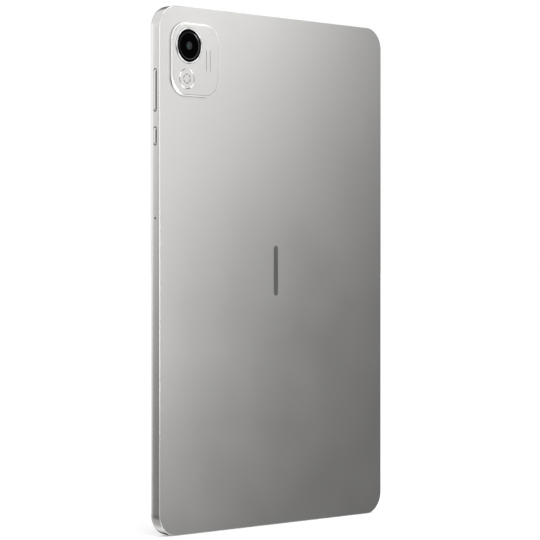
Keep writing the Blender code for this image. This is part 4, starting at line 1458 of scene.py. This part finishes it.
@dataclass
class Studio:
    """Pale floor, a bright surround with darker stretches, soft boxes and the camera, in metres."""

    camera_place: Vector = field(default_factory=lambda: Vector((0.84471, 0.82085, 0.13402)))
    camera_heading: float = 45.763
    focal_length: float = 148.67
    floor_size: float = 400.0
    floor_colour: Colour = (0.86, 0.86, 0.86)
    floor_shade: Colour = (0.9, 0.9, 0.9)
    surround: float = 1.0
    wash: float = 1.5
    # The flat back mirrors the first patch and the flat side the second. The last five stand beyond
    # the tablet, where its edges mirror them at a glancing angle.
    patches: tuple[Patch, ...] = field(default_factory=lambda: (
        Patch(Vector((-0.70, 0.71, 0.00)), 17.0, 42.0, 0.018),
        Patch(Vector((0.710, -0.673, -0.208)), 6.0, 19.0, 0.16),
        Patch(Vector((0.45, -0.70, -0.55)), 2.0, 26.0, 0.50),
        Patch(Vector((1.00, 0.02, 0.00)), 8.0, 30.0, 0.20),
        Patch(Vector((0.70, 0.70, 0.20)), 3.0, 26.0, 1.3),
        Patch(Vector((0.66, 0.66, -0.34)), 4.0, 24.0, 0.25),
        Patch(Vector((0.46, -0.89, 0.12)), 4.0, 15.0, 1.55),
        Patch(Vector((-0.70, -0.71, 0.00)), 34.0, 52.0, 0.30),
        Patch(Vector((-0.62, -0.70, 0.38)), 8.0, 26.0, 0.35),
        Patch(Vector((-0.62, -0.70, -0.38)), 10.0, 26.0, 0.25),
        Patch(Vector((-0.70, -0.20, 0.70)), 13.0, 26.0, 0.60),
        Patch(Vector((-0.70, -0.20, -0.70)), 13.0, 26.0, 0.30),
    ))
    lights: tuple[SoftBox, ...] = field(default_factory=lambda: (
        SoftBox("low_panel", Vector((-0.12, 0.50, 0.10)), 0.629),
        SoftBox("near_panel", Vector((-0.14, 0.30, 0.25)), 0.053),
        SoftBox("middle_panel", Vector((-0.24, 0.30, 0.25)), 0.040),
        SoftBox("tall_panel", Vector((-0.24, 0.30, 0.38)), 0.103),
        SoftBox("far_panel", Vector((-0.42, 0.50, 0.40)), 0.069),
        SoftBox("top_panel", Vector((0.0, 0.0, 1.8)), 5.0, (1.6, 1.6), Vector((0, 0, 0))),
    ))

    def build(self) -> None:
        """Set the stage."""
        self.floor()
        self.world()
        self.camera()
        for light in self.lights:
            light.build()
        bpy.context.scene.view_settings.view_transform = "Standard"

    def floor(self) -> None:
        """Lay a pale matt floor."""
        bm = bmesh.new()
        bmesh.ops.create_grid(bm, x_segments=1, y_segments=1, size=self.floor_size / 2)
        floor = to_object("floor", bm)
        material, graph = new_material("pale_floor")
        tone = graph.blend(graph.noise(3.0, detail=2.0), self.floor_colour, self.floor_shade)
        graph.surface(Base_Color=tone, Roughness=0.8, Specular_IOR_Level=0.1)
        floor.data.materials[0] = material
        floor.visible_glossy = False

    def world(self) -> None:
        """Make the surround: white to the eye, with soft darker stretches in reflections."""
        world = bpy.data.worlds.new("studio")
        world.use_nodes = True
        bpy.context.scene.world = world
        graph = Graph(world.node_tree)
        direction = graph.add("TexCoord").outputs["Generated"]
        light: object = self.surround
        for patch in self.patches:
            dot = graph.add("VectorMath", {0: direction}, operation="DOT_PRODUCT")
            dot.inputs[1].default_value = patch.towards.normalized()
            fade = graph.add(
                "MapRange", {"Value": dot.outputs["Value"]}, interpolation_type="SMOOTHSTEP",
                From_Min=math.cos(math.radians(patch.outer)), From_Max=math.cos(math.radians(patch.inner)),
                To_Min=1.0, To_Max=patch.gain,
            )
            light = graph.math("MULTIPLY", fade.outputs[0], light)
        path = graph.add("LightPath")
        wash = graph.math("MULTIPLY", path.outputs["Is Diffuse Ray"], self.wash)
        strength = graph.math("MAXIMUM", graph.math("MAXIMUM", light, wash), path.outputs["Is Camera Ray"])
        background = world.node_tree.nodes["Background"]
        graph.feed(background.inputs["Color"], (1.0, 1.0, 1.0))
        graph.feed(background.inputs["Strength"], strength)

    def camera(self) -> None:
        """Place the camera behind the tablet, level, on the side of its keys."""
        data = bpy.data.cameras.new("camera")
        data.lens = self.focal_length
        data.sensor_width = 36.0
        data.clip_start, data.clip_end = 0.01, 100.0
        eye = bpy.data.objects.new("camera", data)
        eye.location = self.camera_place
        heading = math.radians(self.camera_heading)
        look = Vector((-math.sin(heading), -math.cos(heading), 0.0))
        eye.rotation_mode = "QUATERNION"
        eye.rotation_quaternion = look.to_track_quat("-Z", "Y")
        bpy.context.scene.collection.objects.link(eye)
        bpy.context.scene.camera = eye


def main() -> None:
    """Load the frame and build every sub-assembly in order."""
    logging.basicConfig(level=logging.INFO, format="%(name)s: %(message)s")
    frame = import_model()
    shop = Workshop(frame["nodes"])
    builders: tuple[Callable[[], None], ...] = (
        Studio().build,
        RearShell(shop).build,
        CameraIsland(shop).build,
        RearLens(shop).build,
        SideKeys(shop).build,
        DisplayFace(shop).build,
        EdgePorts(shop).build,
        BackMark(shop).build,
        InnerParts(shop).build,
    )
    for build in builders:
        build()


if __name__ == "__main__":
    main()
